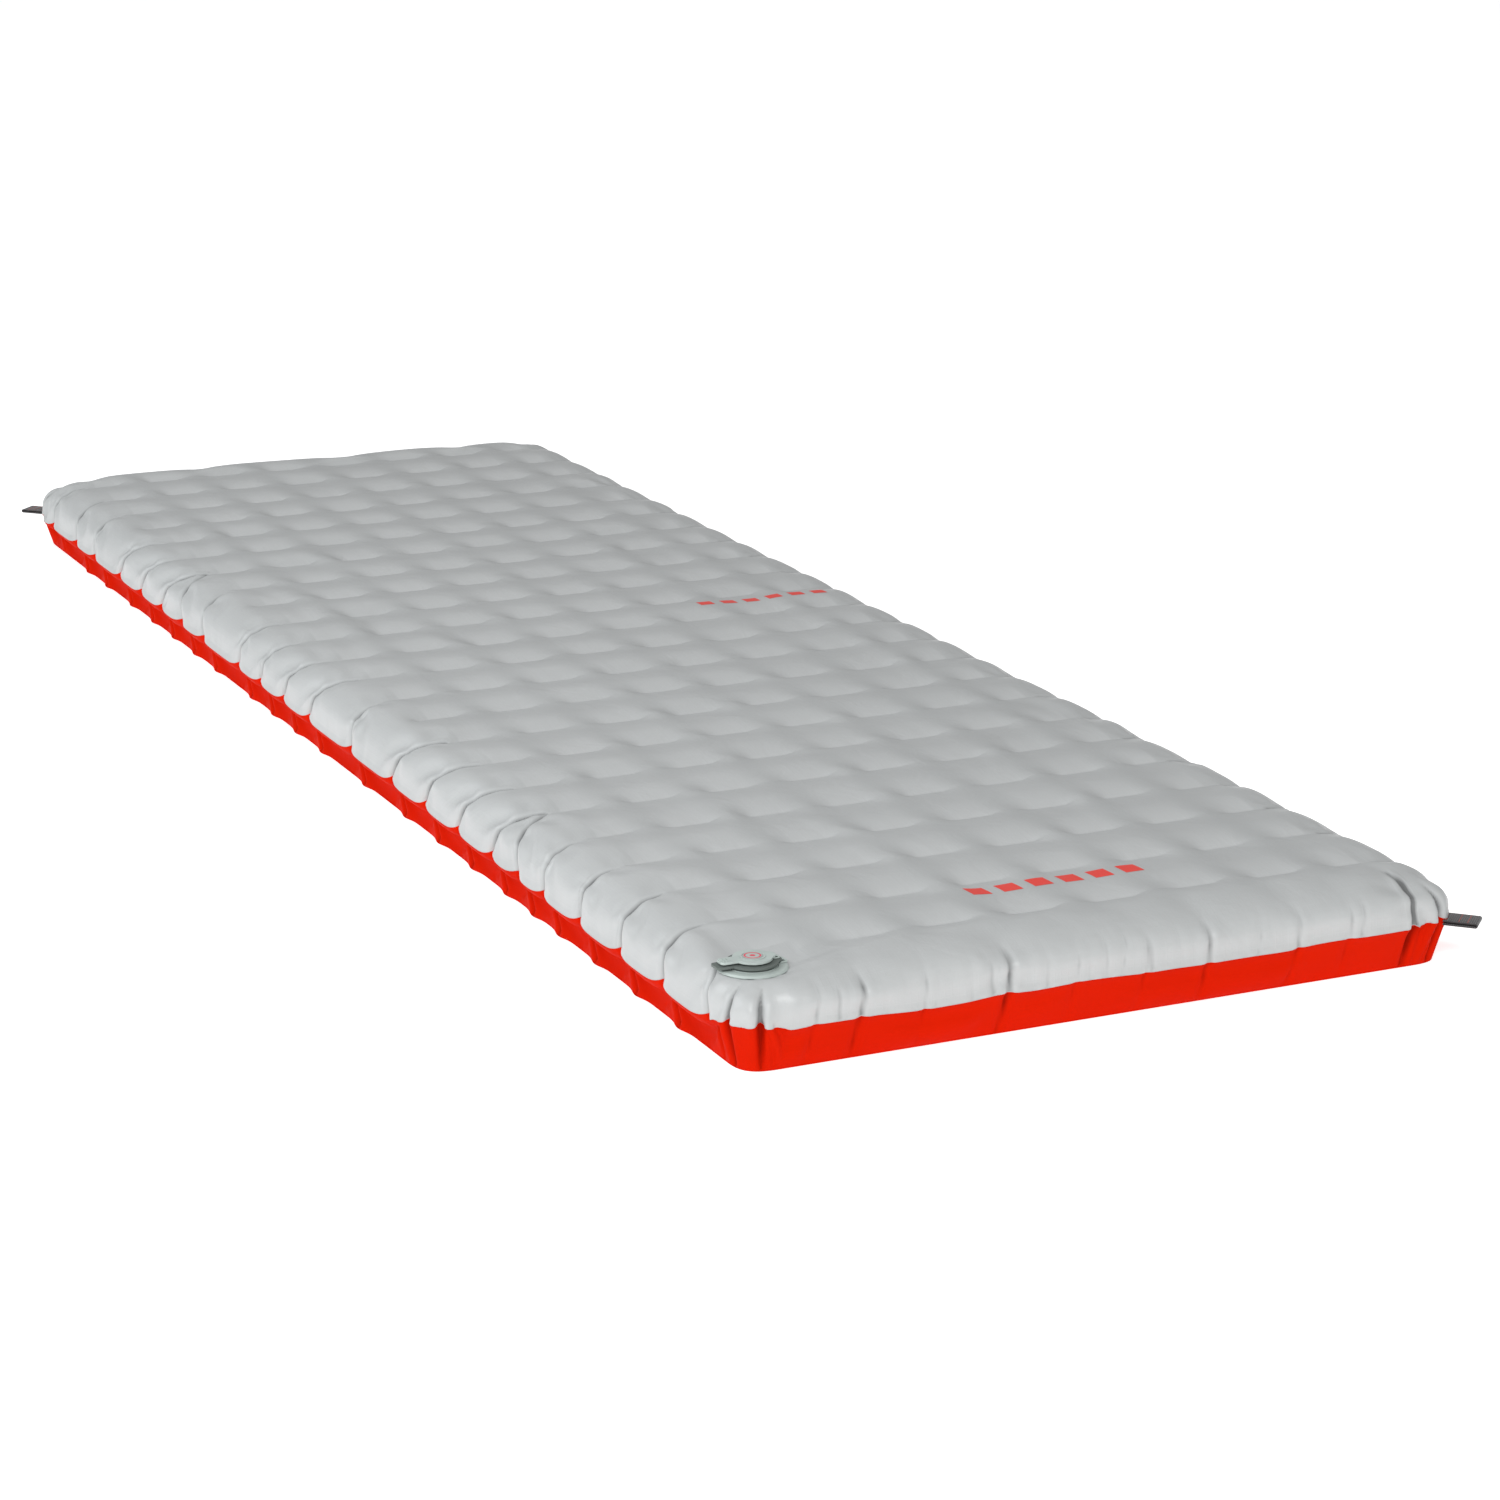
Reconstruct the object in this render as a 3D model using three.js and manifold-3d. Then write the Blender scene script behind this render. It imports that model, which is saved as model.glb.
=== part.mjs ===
// An inflated sleeping pad: two fabric trays welded edge to edge, held flat by upright trusses,
// two heat-reflecting films hung between them, and a flat two-stage valve near one corner.
// Millimetres. X is the pad's width, Y its length and Z up. The origin is on the ground,
// under the middle of the pad.
import * as THREE from "three";
import { mergeVertices } from "three/addons/utils/BufferGeometryUtils.js";
import Module from "manifold-3d";

const wasm = await Module();
wasm.setup();

// ---- Driving dimensions -------------------------------------------------------------------

const LENGTH = 1930;
const WIDTH = 640;
const THICKNESS = 78;
const CORNER_RADIUS = 48;
const SEAM_HEIGHT = 35;
const FABRIC = 0.6;
const FLANGE = 5; // width of the weld round the edge
const GAP = 0.3; // clearance between neighbouring pieces

const TRUSS_COUNT = 24;
const TRUSS_PITCH = 77.4;
const TRUSS_FILM = 0.5;
const VALLEY_DEPTH = 8;
const WELDS_PER_ROW = 8;
const WELD_PITCH = 72.5;
const WELD_LENGTH = 36;
const TRUSS_BAND_TOP = 30; // below this height a truss is a plain band
const TRUSS_BAND_MARGIN = 4; // how far the band runs past its outermost welds

const FILM_HEIGHTS = { upper: 44, lower: 26 };
const FILM_THICKNESS = 0.4;
const FILM_INSET = 22;
const FILM_SLOT = 2;

const VALVE = { x: -276, y: -904 };
const POCKET_RADIUS = 27.6;
const POCKET_FLOOR = 63.6; // underside of the fabric in the valve's pocket
const NECK_RADIUS = 18.9;
const BORE_RADIUS = 15.5;
const PORT_RADIUS = 9.6;
const ROUND_SEGMENTS = 56;

const TAB = { width: 22, reach: 24, grip: 3.5, thickness: 1, lift: 1.2 };

// ---- Materials ----------------------------------------------------------------------------

const finish = (color, roughness, metalness = 0) =>
  new THREE.MeshStandardMaterial({ color, roughness, metalness });

const materials = {
  topFabric: finish(0xb9bcbc, 0.5),
  baseFabric: finish(0xe8260c, 0.45),
  trussFilm: finish(0xd9dcd8, 0.6),
  metalFilm: finish(0xc9ccd0, 0.25, 0.9),
  valveShell: finish(0xafb9b4, 0.45),
  valveSeal: finish(0x5c6462, 0.7),
  webbing: finish(0x3a3638, 0.85),
  print: finish(0xd8455a, 0.5),
};

// ---- Solids -------------------------------------------------------------------------------

/** A closed three.js geometry as a manifold solid. */
function solidOf(geometry) {
  const bare = new THREE.BufferGeometry();
  bare.setAttribute("position", geometry.getAttribute("position"));
  if (geometry.index) bare.setIndex(geometry.index);
  const merged = mergeVertices(bare, 1e-4);
  const vertProperties = merged.getAttribute("position").array;
  const triVerts = new Uint32Array(merged.index.array);
  return new wasm.Manifold(new wasm.Mesh({ numProp: 3, vertProperties, triVerts }));
}

/** A manifold solid as a three.js geometry. */
function geometryOf(solid) {
  const { numProp, numVert, vertProperties, triVerts } = solid.getMesh();
  const positions = new Float32Array(numVert * 3);
  for (let i = 0; i < numVert; i++) {
    positions.set(vertProperties.subarray(i * numProp, i * numProp + 3), i * 3);
  }
  const geometry = new THREE.BufferGeometry();
  geometry.setAttribute("position", new THREE.BufferAttribute(positions, 3));
  geometry.setIndex(new THREE.BufferAttribute(triVerts, 1));
  geometry.computeVertexNormals();
  return geometry;
}

/** A ring or disc turned about Z. The profile is [radius, height] corners in order. */
function turned(profile, segments = ROUND_SEGMENTS) {
  const corners = profile.map(([radius, height]) => new THREE.Vector2(radius, height));
  if (THREE.ShapeUtils.isClockWise(corners)) corners.reverse();
  const onAxis = corners.filter((corner) => corner.x === 0);
  if (onAxis.length === 2) {
    while (corners[0].x !== 0 || corners.at(-1).x !== 0) corners.push(corners.shift());
  } else {
    corners.push(corners[0].clone());
  }
  return new THREE.LatheGeometry(corners, segments).rotateX(Math.PI / 2);
}

/** A plain ring between two radii and two heights. */
function ring(inner, outer, low, high) {
  return turned([[inner, low], [outer, low], [outer, high], [inner, high]]);
}

/** A plain disc. */
function disc(radius, low, high) {
  return turned([[0, low], [radius, low], [radius, high], [0, high]]);
}

/** A flat bar with round corners, from lowX to highX and centred on Y. */
function bar(lowX, highX, width, low, high, corner) {
  const half = width / 2;
  const shape = new THREE.Shape();
  shape.moveTo(lowX + corner, -half);
  shape.lineTo(highX - corner, -half);
  shape.absarc(highX - corner, -half + corner, corner, -Math.PI / 2, 0);
  shape.absarc(highX - corner, half - corner, corner, 0, Math.PI / 2);
  shape.absarc(lowX + corner, half - corner, corner, Math.PI / 2, Math.PI);
  shape.absarc(lowX + corner, -half + corner, corner, Math.PI, 1.5 * Math.PI);
  const settings = { depth: high - low, bevelEnabled: false, curveSegments: 5 };
  return new THREE.ExtrudeGeometry(shape, settings).translate(0, 0, low);
}

/** Several geometries joined into one solid. */
function joined(...geometries) {
  return geometries.map(solidOf).reduce((whole, part) => whole.add(part));
}

// ---- Fabric trays -------------------------------------------------------------------------
// A tray is a grid of lines across the pad. Its outer lines are rings that step up the side
// wall, each with an inset from the edge and a height; the lines inside them make the panel.

/** The grid's lines along one axis: the wall's rings on both sides and the panel's own lines. */
function gridLines(half, rings, panelLines) {
  const step = Math.PI / 4 / rings.length;
  const wall = rings.map(({ inset }, level) => ({
    at: half - inset,
    level,
    turn: Math.tan((rings.length - level) * step),
  }));
  const low = wall.map((line) => ({ ...line, at: -line.at }));
  const panel = panelLines.map((at) => ({ at, level: rings.length, turn: 0 }));
  return [...low, ...panel, ...wall.reverse()];
}

/** A grid point, moved onto the round corner where both of its lines belong to the wall. */
function gridPoint(lineX, lineY, rings, panelHeight) {
  const level = Math.min(lineX.level, lineY.level);
  if (level === rings.length) return [lineX.at, lineY.at, panelHeight(lineY.at)];
  const { inset, height } = rings[level];
  if (!lineX.turn || !lineY.turn) return [lineX.at, lineY.at, height];
  const reach = (CORNER_RADIUS - inset) / Math.hypot(lineX.turn, lineY.turn);
  const coreX = Math.sign(lineX.at) * (WIDTH / 2 - CORNER_RADIUS);
  const coreY = Math.sign(lineY.at) * (LENGTH / 2 - CORNER_RADIUS);
  return [
    coreX + Math.sign(lineX.at) * lineX.turn * reach,
    coreY + Math.sign(lineY.at) * lineY.turn * reach,
    height,
  ];
}

/** One face of a tray as loose triangles, facing up, or down when it is turned over. */
function trayFace(rings, panelHeight, panelYs, facesDown) {
  const panelXs = [-1, 1].map((side) => side * (WIDTH / 2 - CORNER_RADIUS));
  const linesX = gridLines(WIDTH / 2, rings, panelXs);
  const linesY = gridLines(LENGTH / 2, rings, panelYs);
  const point = (i, j) => gridPoint(linesX[i], linesY[j], rings, panelHeight);
  const positions = [];
  for (let i = 0; i + 1 < linesX.length; i++) {
    for (let j = 0; j + 1 < linesY.length; j++) {
      const [a, b, c, d] = [point(i, j), point(i + 1, j), point(i + 1, j + 1), point(i, j + 1)];
      const acrossAC = (linesX[i].at + linesX[i + 1].at) * (linesY[j].at + linesY[j + 1].at) > 0;
      const corners = acrossAC ? [a, b, c, a, c, d] : [a, b, d, b, c, d];
      if (facesDown) corners.reverse();
      positions.push(...corners.flat());
    }
  }
  return positions;
}

/** A closed tray between an upper and a lower face that share their outermost ring. */
function tray(upper, lower, panelYs) {
  const positions = [
    ...trayFace(upper.rings, upper.panelHeight, panelYs, false),
    ...trayFace(lower.rings, lower.panelHeight, panelYs, true),
  ];
  const geometry = new THREE.BufferGeometry();
  geometry.setAttribute("position", new THREE.Float32BufferAttribute(positions, 3));
  return mergeVertices(geometry, 1e-4);
}

const flatPanelYs = [-1, 1].map((end) => end * (LENGTH / 2 - CORNER_RADIUS));
const trussRows = Array.from(
  { length: TRUSS_COUNT },
  (_, row) => (row - (TRUSS_COUNT - 1) / 2) * TRUSS_PITCH,
);

/** Height of the top panel: low at each truss and full between them. */
function crestHeight(y) {
  const phase = (y / TRUSS_PITCH + (TRUSS_COUNT - 1) / 2) * Math.PI;
  return THICKNESS - VALLEY_DEPTH * (1 - Math.abs(Math.sin(phase))) ** 2;
}

/** The top panel's lines: at each truss, between trusses, and a quarter of the way each side. */
function crestedPanelYs() {
  const quarters = trussRows.flatMap((y) => [y - TRUSS_PITCH / 4, y, y + TRUSS_PITCH / 4]);
  const crests = trussRows.slice(1).map((y) => y - TRUSS_PITCH / 2);
  return [...flatPanelYs, ...quarters, ...crests].sort((a, b) => a - b);
}

const topFlange = SEAM_HEIGHT + GAP / 2;
const topOuter = {
  rings: [
    { inset: 0, height: topFlange },
    { inset: 0, height: topFlange + FABRIC },
    { inset: FLANGE, height: topFlange + FABRIC },
    { inset: 3, height: 46 },
    { inset: 9, height: 62 },
    { inset: 24, height: 73 },
  ],
  panelHeight: crestHeight,
};
const topInner = {
  rings: [
    { inset: 0, height: topFlange },
    { inset: FLANGE + FABRIC, height: topFlange },
    { inset: FLANGE + FABRIC, height: topFlange + 1.5 * FABRIC },
    { inset: 3 + FABRIC, height: 46 },
    { inset: 9 + FABRIC, height: 62 - FABRIC },
    { inset: 24 + FABRIC, height: 73 - FABRIC },
  ],
  panelHeight: (y) => crestHeight(y) - FABRIC,
};
const mouldFloor = {
  rings: topOuter.rings.map((_, level) => ({ inset: level * FLANGE, height: topFlange })),
  panelHeight: () => topFlange,
};

const baseFlange = SEAM_HEIGHT - GAP / 2;
const baseOuter = {
  rings: [
    { inset: 0, height: baseFlange },
    { inset: 0, height: baseFlange - FABRIC },
    { inset: FLANGE, height: baseFlange - FABRIC },
    { inset: 7.5, height: 18 },
    { inset: 11, height: 4 },
    { inset: 17, height: 0 },
  ],
  panelHeight: () => 0,
};
const baseInner = {
  rings: [
    { inset: 0, height: baseFlange },
    { inset: FLANGE + FABRIC, height: baseFlange },
    { inset: FLANGE + FABRIC, height: baseFlange - 1.5 * FABRIC },
    { inset: 7.5 + FABRIC, height: 18 },
    { inset: 11 + FABRIC, height: 4 + FABRIC / 2 },
    { inset: 17 + FABRIC, height: FABRIC },
  ],
  panelHeight: () => FABRIC,
};

/** The grey upper tray, with a round pocket and a hole for the valve. */
function topShell() {
  const panelYs = crestedPanelYs();
  const shell = solidOf(tray(topOuter, topInner, panelYs));
  const mould = solidOf(tray(topOuter, mouldFloor, panelYs));
  const wallRadius = POCKET_RADIUS + FABRIC;
  const cup = turned([
    [NECK_RADIUS + GAP, POCKET_FLOOR],
    [wallRadius, POCKET_FLOOR],
    [wallRadius, THICKNESS + 1],
    [POCKET_RADIUS, THICKNESS + 1],
    [POCKET_RADIUS, POCKET_FLOOR + FABRIC],
    [NECK_RADIUS + GAP, POCKET_FLOOR + FABRIC],
  ]);
  const opening = disc(POCKET_RADIUS, POCKET_FLOOR - 6, THICKNESS + 2);
  const place = (geometry) => solidOf(geometry.translate(VALVE.x, VALVE.y, 0));
  return geometryOf(shell.subtract(place(opening)).add(mould.intersect(place(cup))));
}

// ---- Inside the pad -----------------------------------------------------------------------

const weldCentres = Array.from(
  { length: WELDS_PER_ROW },
  (_, weld) => (weld - (WELDS_PER_ROW - 1) / 2) * WELD_PITCH,
);
const trussEnd = weldCentres.at(-1) + WELD_LENGTH / 2 + TRUSS_BAND_MARGIN;

/** One upright truss: a band across the pad with a tab up to each of the top panel's welds. */
function truss(weldsAt) {
  const low = FABRIC + GAP;
  const high = THICKNESS - VALLEY_DEPTH - FABRIC - GAP;
  const half = WELD_LENGTH / 2;
  const outline = [[-trussEnd, TRUSS_BAND_TOP], [-trussEnd, low], [trussEnd, low]];
  outline.push([trussEnd, TRUSS_BAND_TOP]);
  for (const centre of weldsAt.toReversed()) {
    outline.push([centre + half, TRUSS_BAND_TOP], [centre + half, high]);
    outline.push([centre - half, high], [centre - half, TRUSS_BAND_TOP]);
  }
  const shape = new THREE.Shape(outline.map(([x, z]) => new THREE.Vector2(x, z)));
  const geometry = new THREE.ExtrudeGeometry(shape, { depth: TRUSS_FILM, bevelEnabled: false });
  return geometry.rotateX(Math.PI / 2).translate(0, TRUSS_FILM / 2, 0);
}

/** A heat-reflecting film, slotted so that every truss passes through it. */
function reflectingFilm(height) {
  const halfX = WIDTH / 2 - FILM_INSET;
  const halfY = LENGTH / 2 - FILM_INSET;
  const corner = CORNER_RADIUS - FILM_INSET;
  const shape = new THREE.Shape();
  shape.absarc(halfX - corner, halfY - corner, corner, 0, Math.PI / 2);
  shape.absarc(-halfX + corner, halfY - corner, corner, Math.PI / 2, Math.PI);
  shape.absarc(-halfX + corner, -halfY + corner, corner, Math.PI, 1.5 * Math.PI);
  shape.absarc(halfX - corner, -halfY + corner, corner, 1.5 * Math.PI, 2 * Math.PI);
  const slotEnd = trussEnd + FILM_SLOT;
  for (const y of trussRows) {
    const slot = [[-slotEnd, -1], [slotEnd, -1], [slotEnd, 1], [-slotEnd, 1]];
    const corners = slot.map(([x, side]) => new THREE.Vector2(x, y + (side * FILM_SLOT) / 2));
    shape.holes.push(new THREE.Path(corners));
  }
  const settings = { depth: FILM_THICKNESS, bevelEnabled: false, curveSegments: 4 };
  return new THREE.ExtrudeGeometry(shape, settings).translate(0, 0, height);
}

// ---- Valve, about its own upright axis ----------------------------------------------------

const fabricTop = POCKET_FLOOR + FABRIC;
const collarLow = fabricTop + GAP;
const collarHigh = collarLow + 2.1;
const neckTop = 67;
const lidLow = 68.4;
const lidHigh = 70.2;
const capLow = 71.5;
const capHigh = 73.3;

/** The neck and the broad flange that is welded under the fabric. */
function valveBase() {
  const flangeTop = POCKET_FLOOR - GAP;
  const flangeLow = flangeTop - 1;
  return turned([
    [BORE_RADIUS, flangeLow],
    [POCKET_RADIUS - 1.6, flangeLow],
    [POCKET_RADIUS - 1.6, flangeTop],
    [NECK_RADIUS, flangeTop],
    [NECK_RADIUS, neckTop],
    [BORE_RADIUS, neckTop],
  ]);
}

/** The wide soft disc round the neck, with an eased rim. */
function valveCollar() {
  const rim = POCKET_RADIUS - 0.6;
  const hole = NECK_RADIUS + GAP;
  return turned([
    [hole, collarLow],
    [rim - 0.6, collarLow],
    [rim, collarLow + 0.6],
    [rim - 1.4, collarHigh],
    [hole, collarHigh],
  ]);
}

/** The strap that ties the lid to the collar, with an eyelet. */
function lidStrap() {
  const strapLow = collarHigh + GAP;
  const strap = solidOf(bar(19.5, 26.4, 12, strapLow, strapLow + 1, 2));
  const eyelet = solidOf(disc(1.6, strapLow - 1, strapLow + 2).translate(23.6, 0, 0));
  return geometryOf(strap.subtract(eyelet));
}

/** The lid that opens the whole bore to let the air out, with the port through it. */
function deflateLid() {
  const plate = joined(disc(19.5, lidLow, lidHigh), bar(-31, 21.7, 14, lidLow, lidHigh, 3));
  return geometryOf(plate.subtract(solidOf(disc(PORT_RADIUS, lidLow - 1, lidHigh + 1))));
}

/** The spoked seat under the port that the check flap closes against. */
function checkSeat() {
  const low = 66.6;
  const high = lidLow - GAP;
  const rim = ring(10.6, 12.8, low, high);
  const spokes = [0, Math.PI / 3, (2 * Math.PI) / 3].map((angle) =>
    bar(-11.5, 11.5, 1.6, low, high, 0.4).rotateZ(angle),
  );
  return geometryOf(joined(rim, ...spokes));
}

/** The inflation cap: a plug, a plate with a ribbed pull tab, and a raised ring. */
function inflateCap() {
  const plate = bar(-27, 17.2, 11, capLow, capHigh, 3);
  const ribs = [-25.4, -23, -20.6].map((x) =>
    bar(x, x + 1.2, 8, capHigh - 0.5, capHigh + 0.5, 0.4),
  );
  return geometryOf(
    joined(
      disc(15, capLow, capHigh),
      plate,
      disc(PORT_RADIUS - 0.6, lidLow + 0.2, capLow + 0.5),
      ring(8, 9.6, capHigh - 0.5, capHigh + 0.6),
      ...ribs,
    ),
  );
}

// ---- Corner tabs --------------------------------------------------------------------------

/** A folded webbing tab that grips the flange at a corner and points along +X. */
function cornerTab() {
  const inner = TAB.lift / 2 + GAP;
  const outer = inner + TAB.thickness;
  const fold = (radius, from, to) => {
    const curve = new THREE.EllipseCurve(TAB.reach - outer, 0, radius, radius, from, to, from > to);
    return curve.getPoints(6);
  };
  const outline = [
    new THREE.Vector2(-TAB.grip, -outer),
    ...fold(outer, -Math.PI / 2, Math.PI / 2),
    new THREE.Vector2(-TAB.grip, outer),
    new THREE.Vector2(-TAB.grip, inner),
    ...fold(inner, Math.PI / 2, -Math.PI / 2),
    new THREE.Vector2(-TAB.grip, -inner),
  ];
  const settings = { depth: TAB.width, bevelEnabled: false };
  const geometry = new THREE.ExtrudeGeometry(new THREE.Shape(outline), settings);
  return geometry.translate(0, 0, -TAB.width / 2).rotateX(Math.PI / 2);
}

// ---- The pad ------------------------------------------------------------------------------

const pad = new THREE.Group();

/** Adds one named piece. */
function piece(name, geometry, material, parent = pad) {
  const mesh = new THREE.Mesh(geometry, material);
  mesh.name = name;
  parent.add(mesh);
  return mesh;
}

piece("top_shell", topShell(), materials.topFabric);
piece("bottom_shell", tray(baseInner, baseOuter, flatPanelYs), materials.baseFabric);

// The first truss has no weld in the valve's corner, where the check flap needs the room.
trussRows.forEach((y, row) => {
  const number = String(row + 1).padStart(2, "0");
  const weldsAt = row === 0 ? weldCentres.slice(1) : weldCentres;
  piece(`truss_${number}`, truss(weldsAt), materials.trussFilm).position.y = y;
});

for (const [level, height] of Object.entries(FILM_HEIGHTS)) {
  piece(`${level}_reflecting_film`, reflectingFilm(height), materials.metalFilm);
}

const valve = new THREE.Group();
valve.position.set(VALVE.x, VALVE.y, 0);
pad.add(valve);
piece("valve_base", valveBase(), materials.valveShell, valve);
piece("valve_collar", valveCollar(), materials.valveShell, valve);
piece("lid_strap", lidStrap(), materials.valveShell, valve);
piece("deflate_lid", deflateLid(), materials.valveShell, valve);
piece("lid_seal", ring(16.2, 17.8, neckTop + GAP, lidLow - GAP), materials.valveSeal, valve);
piece("check_seat", checkSeat(), materials.valveShell, valve);
piece("check_flap", disc(12, 65.5, 66.3), materials.valveSeal, valve);
piece("cap_strap", bar(14.3, 20.5, 10, lidHigh + GAP, capLow - GAP, 2), materials.valveShell, valve);
piece("inflate_cap", inflateCap(), materials.valveShell, valve);
piece("cap_mark", disc(7.2, capHigh + GAP, capHigh + GAP + 0.4), materials.print, valve);

// The tabs sit at two opposite corners, where the flange's round corner meets its diagonal.
const diagonal = CORNER_RADIUS * (1 - Math.SQRT1_2);
const cornerX = WIDTH / 2 - diagonal;
const cornerY = LENGTH / 2 - diagonal;
const labelTab = piece("label_tab", cornerTab(), materials.webbing);
labelTab.position.set(cornerX, -cornerY, SEAM_HEIGHT);
labelTab.rotation.z = -Math.PI / 4;
const plainTab = piece("corner_tab", cornerTab(), materials.webbing);
plainTab.position.set(-cornerX, cornerY, SEAM_HEIGHT);
plainTab.rotation.z = (3 * Math.PI) / 4;

export default pad;
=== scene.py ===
# %% [markdown]
# # An inflated sleeping pad
# Two thin coated fabrics are welded edge to edge and blown up. Inside, rows of upright trusses
# hold the top and the base the same distance apart, so the top is quilted by short welds.
# The hard facts (size, weld rows, valve, hinges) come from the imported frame. This script makes
# the looks: cloth that is really blown up, smooth valve pieces, tape tabs and the finishes.

# %% Start from the frame
import math

import bmesh
import bpy
import numpy as np
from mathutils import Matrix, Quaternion, Vector


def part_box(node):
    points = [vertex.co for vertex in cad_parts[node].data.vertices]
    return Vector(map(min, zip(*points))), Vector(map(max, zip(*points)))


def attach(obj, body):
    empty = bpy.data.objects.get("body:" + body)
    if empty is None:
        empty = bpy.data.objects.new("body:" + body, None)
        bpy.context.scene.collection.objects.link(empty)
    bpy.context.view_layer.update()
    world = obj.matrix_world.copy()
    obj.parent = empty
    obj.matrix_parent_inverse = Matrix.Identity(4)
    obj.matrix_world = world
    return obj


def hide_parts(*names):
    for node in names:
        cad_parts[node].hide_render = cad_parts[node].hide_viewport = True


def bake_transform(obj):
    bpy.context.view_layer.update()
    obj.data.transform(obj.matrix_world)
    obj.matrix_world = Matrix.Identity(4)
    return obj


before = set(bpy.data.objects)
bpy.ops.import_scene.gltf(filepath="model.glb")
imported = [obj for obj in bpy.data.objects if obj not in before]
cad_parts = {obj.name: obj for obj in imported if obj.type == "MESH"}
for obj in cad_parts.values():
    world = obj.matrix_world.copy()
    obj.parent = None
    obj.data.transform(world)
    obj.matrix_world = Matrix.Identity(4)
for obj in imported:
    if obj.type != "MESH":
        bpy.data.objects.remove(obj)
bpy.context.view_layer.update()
scene = bpy.context.scene


def in_scene(name, data):
    """A new object with this data, put in the scene."""
    made = bpy.data.objects.new(name, data)
    scene.collection.objects.link(made)
    return made



# %% [markdown]
# ## Camera
# The pad is seen along its length from one corner, with a long lens and from a low height,
# so the far end looks only a little smaller than the near one.

# %% Camera
CAMERA_AT = (-1.402, -3.298, 0.990)
CAMERA_HEADING, CAMERA_DIP, CAMERA_ROLL = (math.radians(a) for a in (25.14, 16.03, 0.2))
CAMERA_LENS = 91.9


def make_camera():
    """A camera at CAMERA_AT, turned from +Y towards +X and tipped down."""
    camera = in_scene("camera", bpy.data.cameras.new("camera"))
    camera.data.lens = CAMERA_LENS
    camera.data.sensor_width = 36.0
    level = math.cos(CAMERA_DIP)
    forward = Vector((math.sin(CAMERA_HEADING) * level, math.cos(CAMERA_HEADING) * level,
                      -math.sin(CAMERA_DIP)))
    camera.rotation_mode = "QUATERNION"
    camera.rotation_quaternion = (forward.to_track_quat("-Z", "Y")
                                  @ Quaternion((0, 0, 1), CAMERA_ROLL))
    camera.location = CAMERA_AT
    scene.camera = camera


make_camera()
print("camera lens", CAMERA_LENS, "mm")

# %% [markdown]
# ## Places from the frame
# Every truss stands under one row of welds, so the trusses' middles are the weld rows. The two
# fabric trays meet at the seam, and the valve's collar gives the valve's middle.

# %% Places from the frame
top_low, top_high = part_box("top_shell")
truss_names = sorted(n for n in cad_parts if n.startswith("truss_"))
weld_rows = [sum(corner.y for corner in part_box(n)) / 2 for n in truss_names]
ROW_PITCH = (weld_rows[-1] - weld_rows[0]) / (len(weld_rows) - 1)
LAST_ROW = weld_rows[-1]
WELD_PITCH = 0.0725
WELDS_PER_ROW = 8
OVER_TRUSS = 0.0006  # how far the cloth lies above the top of a truss
WELD_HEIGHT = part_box("truss_02")[1].z + OVER_TRUSS
SEAM_HEIGHT = top_low.z
FLANGE = 0.0045  # the weld's lip outside the seam
GROUND_GAP = 0.0004  # how far the cloth stays above the ground
collar_low, collar_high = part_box("valve_collar")
VALVE = (collar_low + collar_high) / 2
COLLAR_RADIUS = (collar_high.x - collar_low.x) / 2
print("rows", len(weld_rows), "pitch", round(ROW_PITCH, 4), "valve at", VALVE)

# %% [markdown]
# ## The grid that the skin is cut on
# The skin is one grid of threads. Its middle lines lie on the top panel. The lines outside
# those are rings: they run down the side to the seam, and on down the base's wall to the ground.
# Where two ring lines cross, the point belongs to a rounded corner.

# %% Grid lines
SIDE_RINGS = 15  # rings from the top panel down to the seam
WALL_RINGS = 7  # rings from the seam down to the ground
RINGS = SIDE_RINGS + WALL_RINGS
CELLS_PER_WELD = 12  # cells from one weld to the next across the pad
CELLS_PER_ROW = 24  # cells from one row to the next along it
END_CELLS = 8  # cells past the last row before the rings begin


def lines_across(half_count, spacing):
    """Ring number, side (-1, 0 or 1) and panel place of each grid line along one axis."""
    panel = np.arange(-half_count, half_count + 1) * spacing
    rings = np.arange(RINGS)
    level = np.concatenate([rings, np.full(len(panel), RINGS), rings[::-1]])
    side = np.concatenate([-np.ones(RINGS), np.zeros(len(panel)), np.ones(RINGS)])
    place = np.concatenate([np.full(RINGS, panel[0]), panel, np.full(RINGS, panel[-1])])
    return level, side, place


half_x_cells = int((WELDS_PER_ROW - 1) / 2 * CELLS_PER_WELD) + CELLS_PER_WELD // 4
half_y_cells = int((len(weld_rows) - 1) / 2 * CELLS_PER_ROW) + END_CELLS
line_x = lines_across(half_x_cells, WELD_PITCH / CELLS_PER_WELD)
line_y = lines_across(half_y_cells, ROW_PITCH / CELLS_PER_ROW)
(level_x, level_y), (side_x, side_y), (at_x, at_y) = (
    np.meshgrid(a, b, indexing="ij") for a, b in zip(line_x, line_y))
level = np.minimum(level_x, level_y)
on_long_side = level_x <= level_y
core = np.array([at_x.max(), at_y.max()])
print("grid", level.shape, "=", level.size, "points")

# %% [markdown]
# `laid_out` puts the grid anywhere from how far each ring reaches past the panel. It makes both
# the first guess of the inflated shape and the flat cut, whose lengths the cloth must keep.

# %% Laying the grid out
share = (RINGS - np.arange(RINGS + 1)) / RINGS
corner_turn = np.tan(math.pi / 4 * share)
turn_x, turn_y = corner_turn[level_x], corner_turn[level_y]
CORNER_POWER = 3.2  # 2 is a round corner, and more is squarer
TINY = 1e-20  # keeps a division by nothing away
turn_length = np.maximum(turn_x ** CORNER_POWER + turn_y ** CORNER_POWER,
                         TINY) ** (1 / CORNER_POWER)
in_x, in_y = level_x < RINGS, level_y < RINGS


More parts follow.
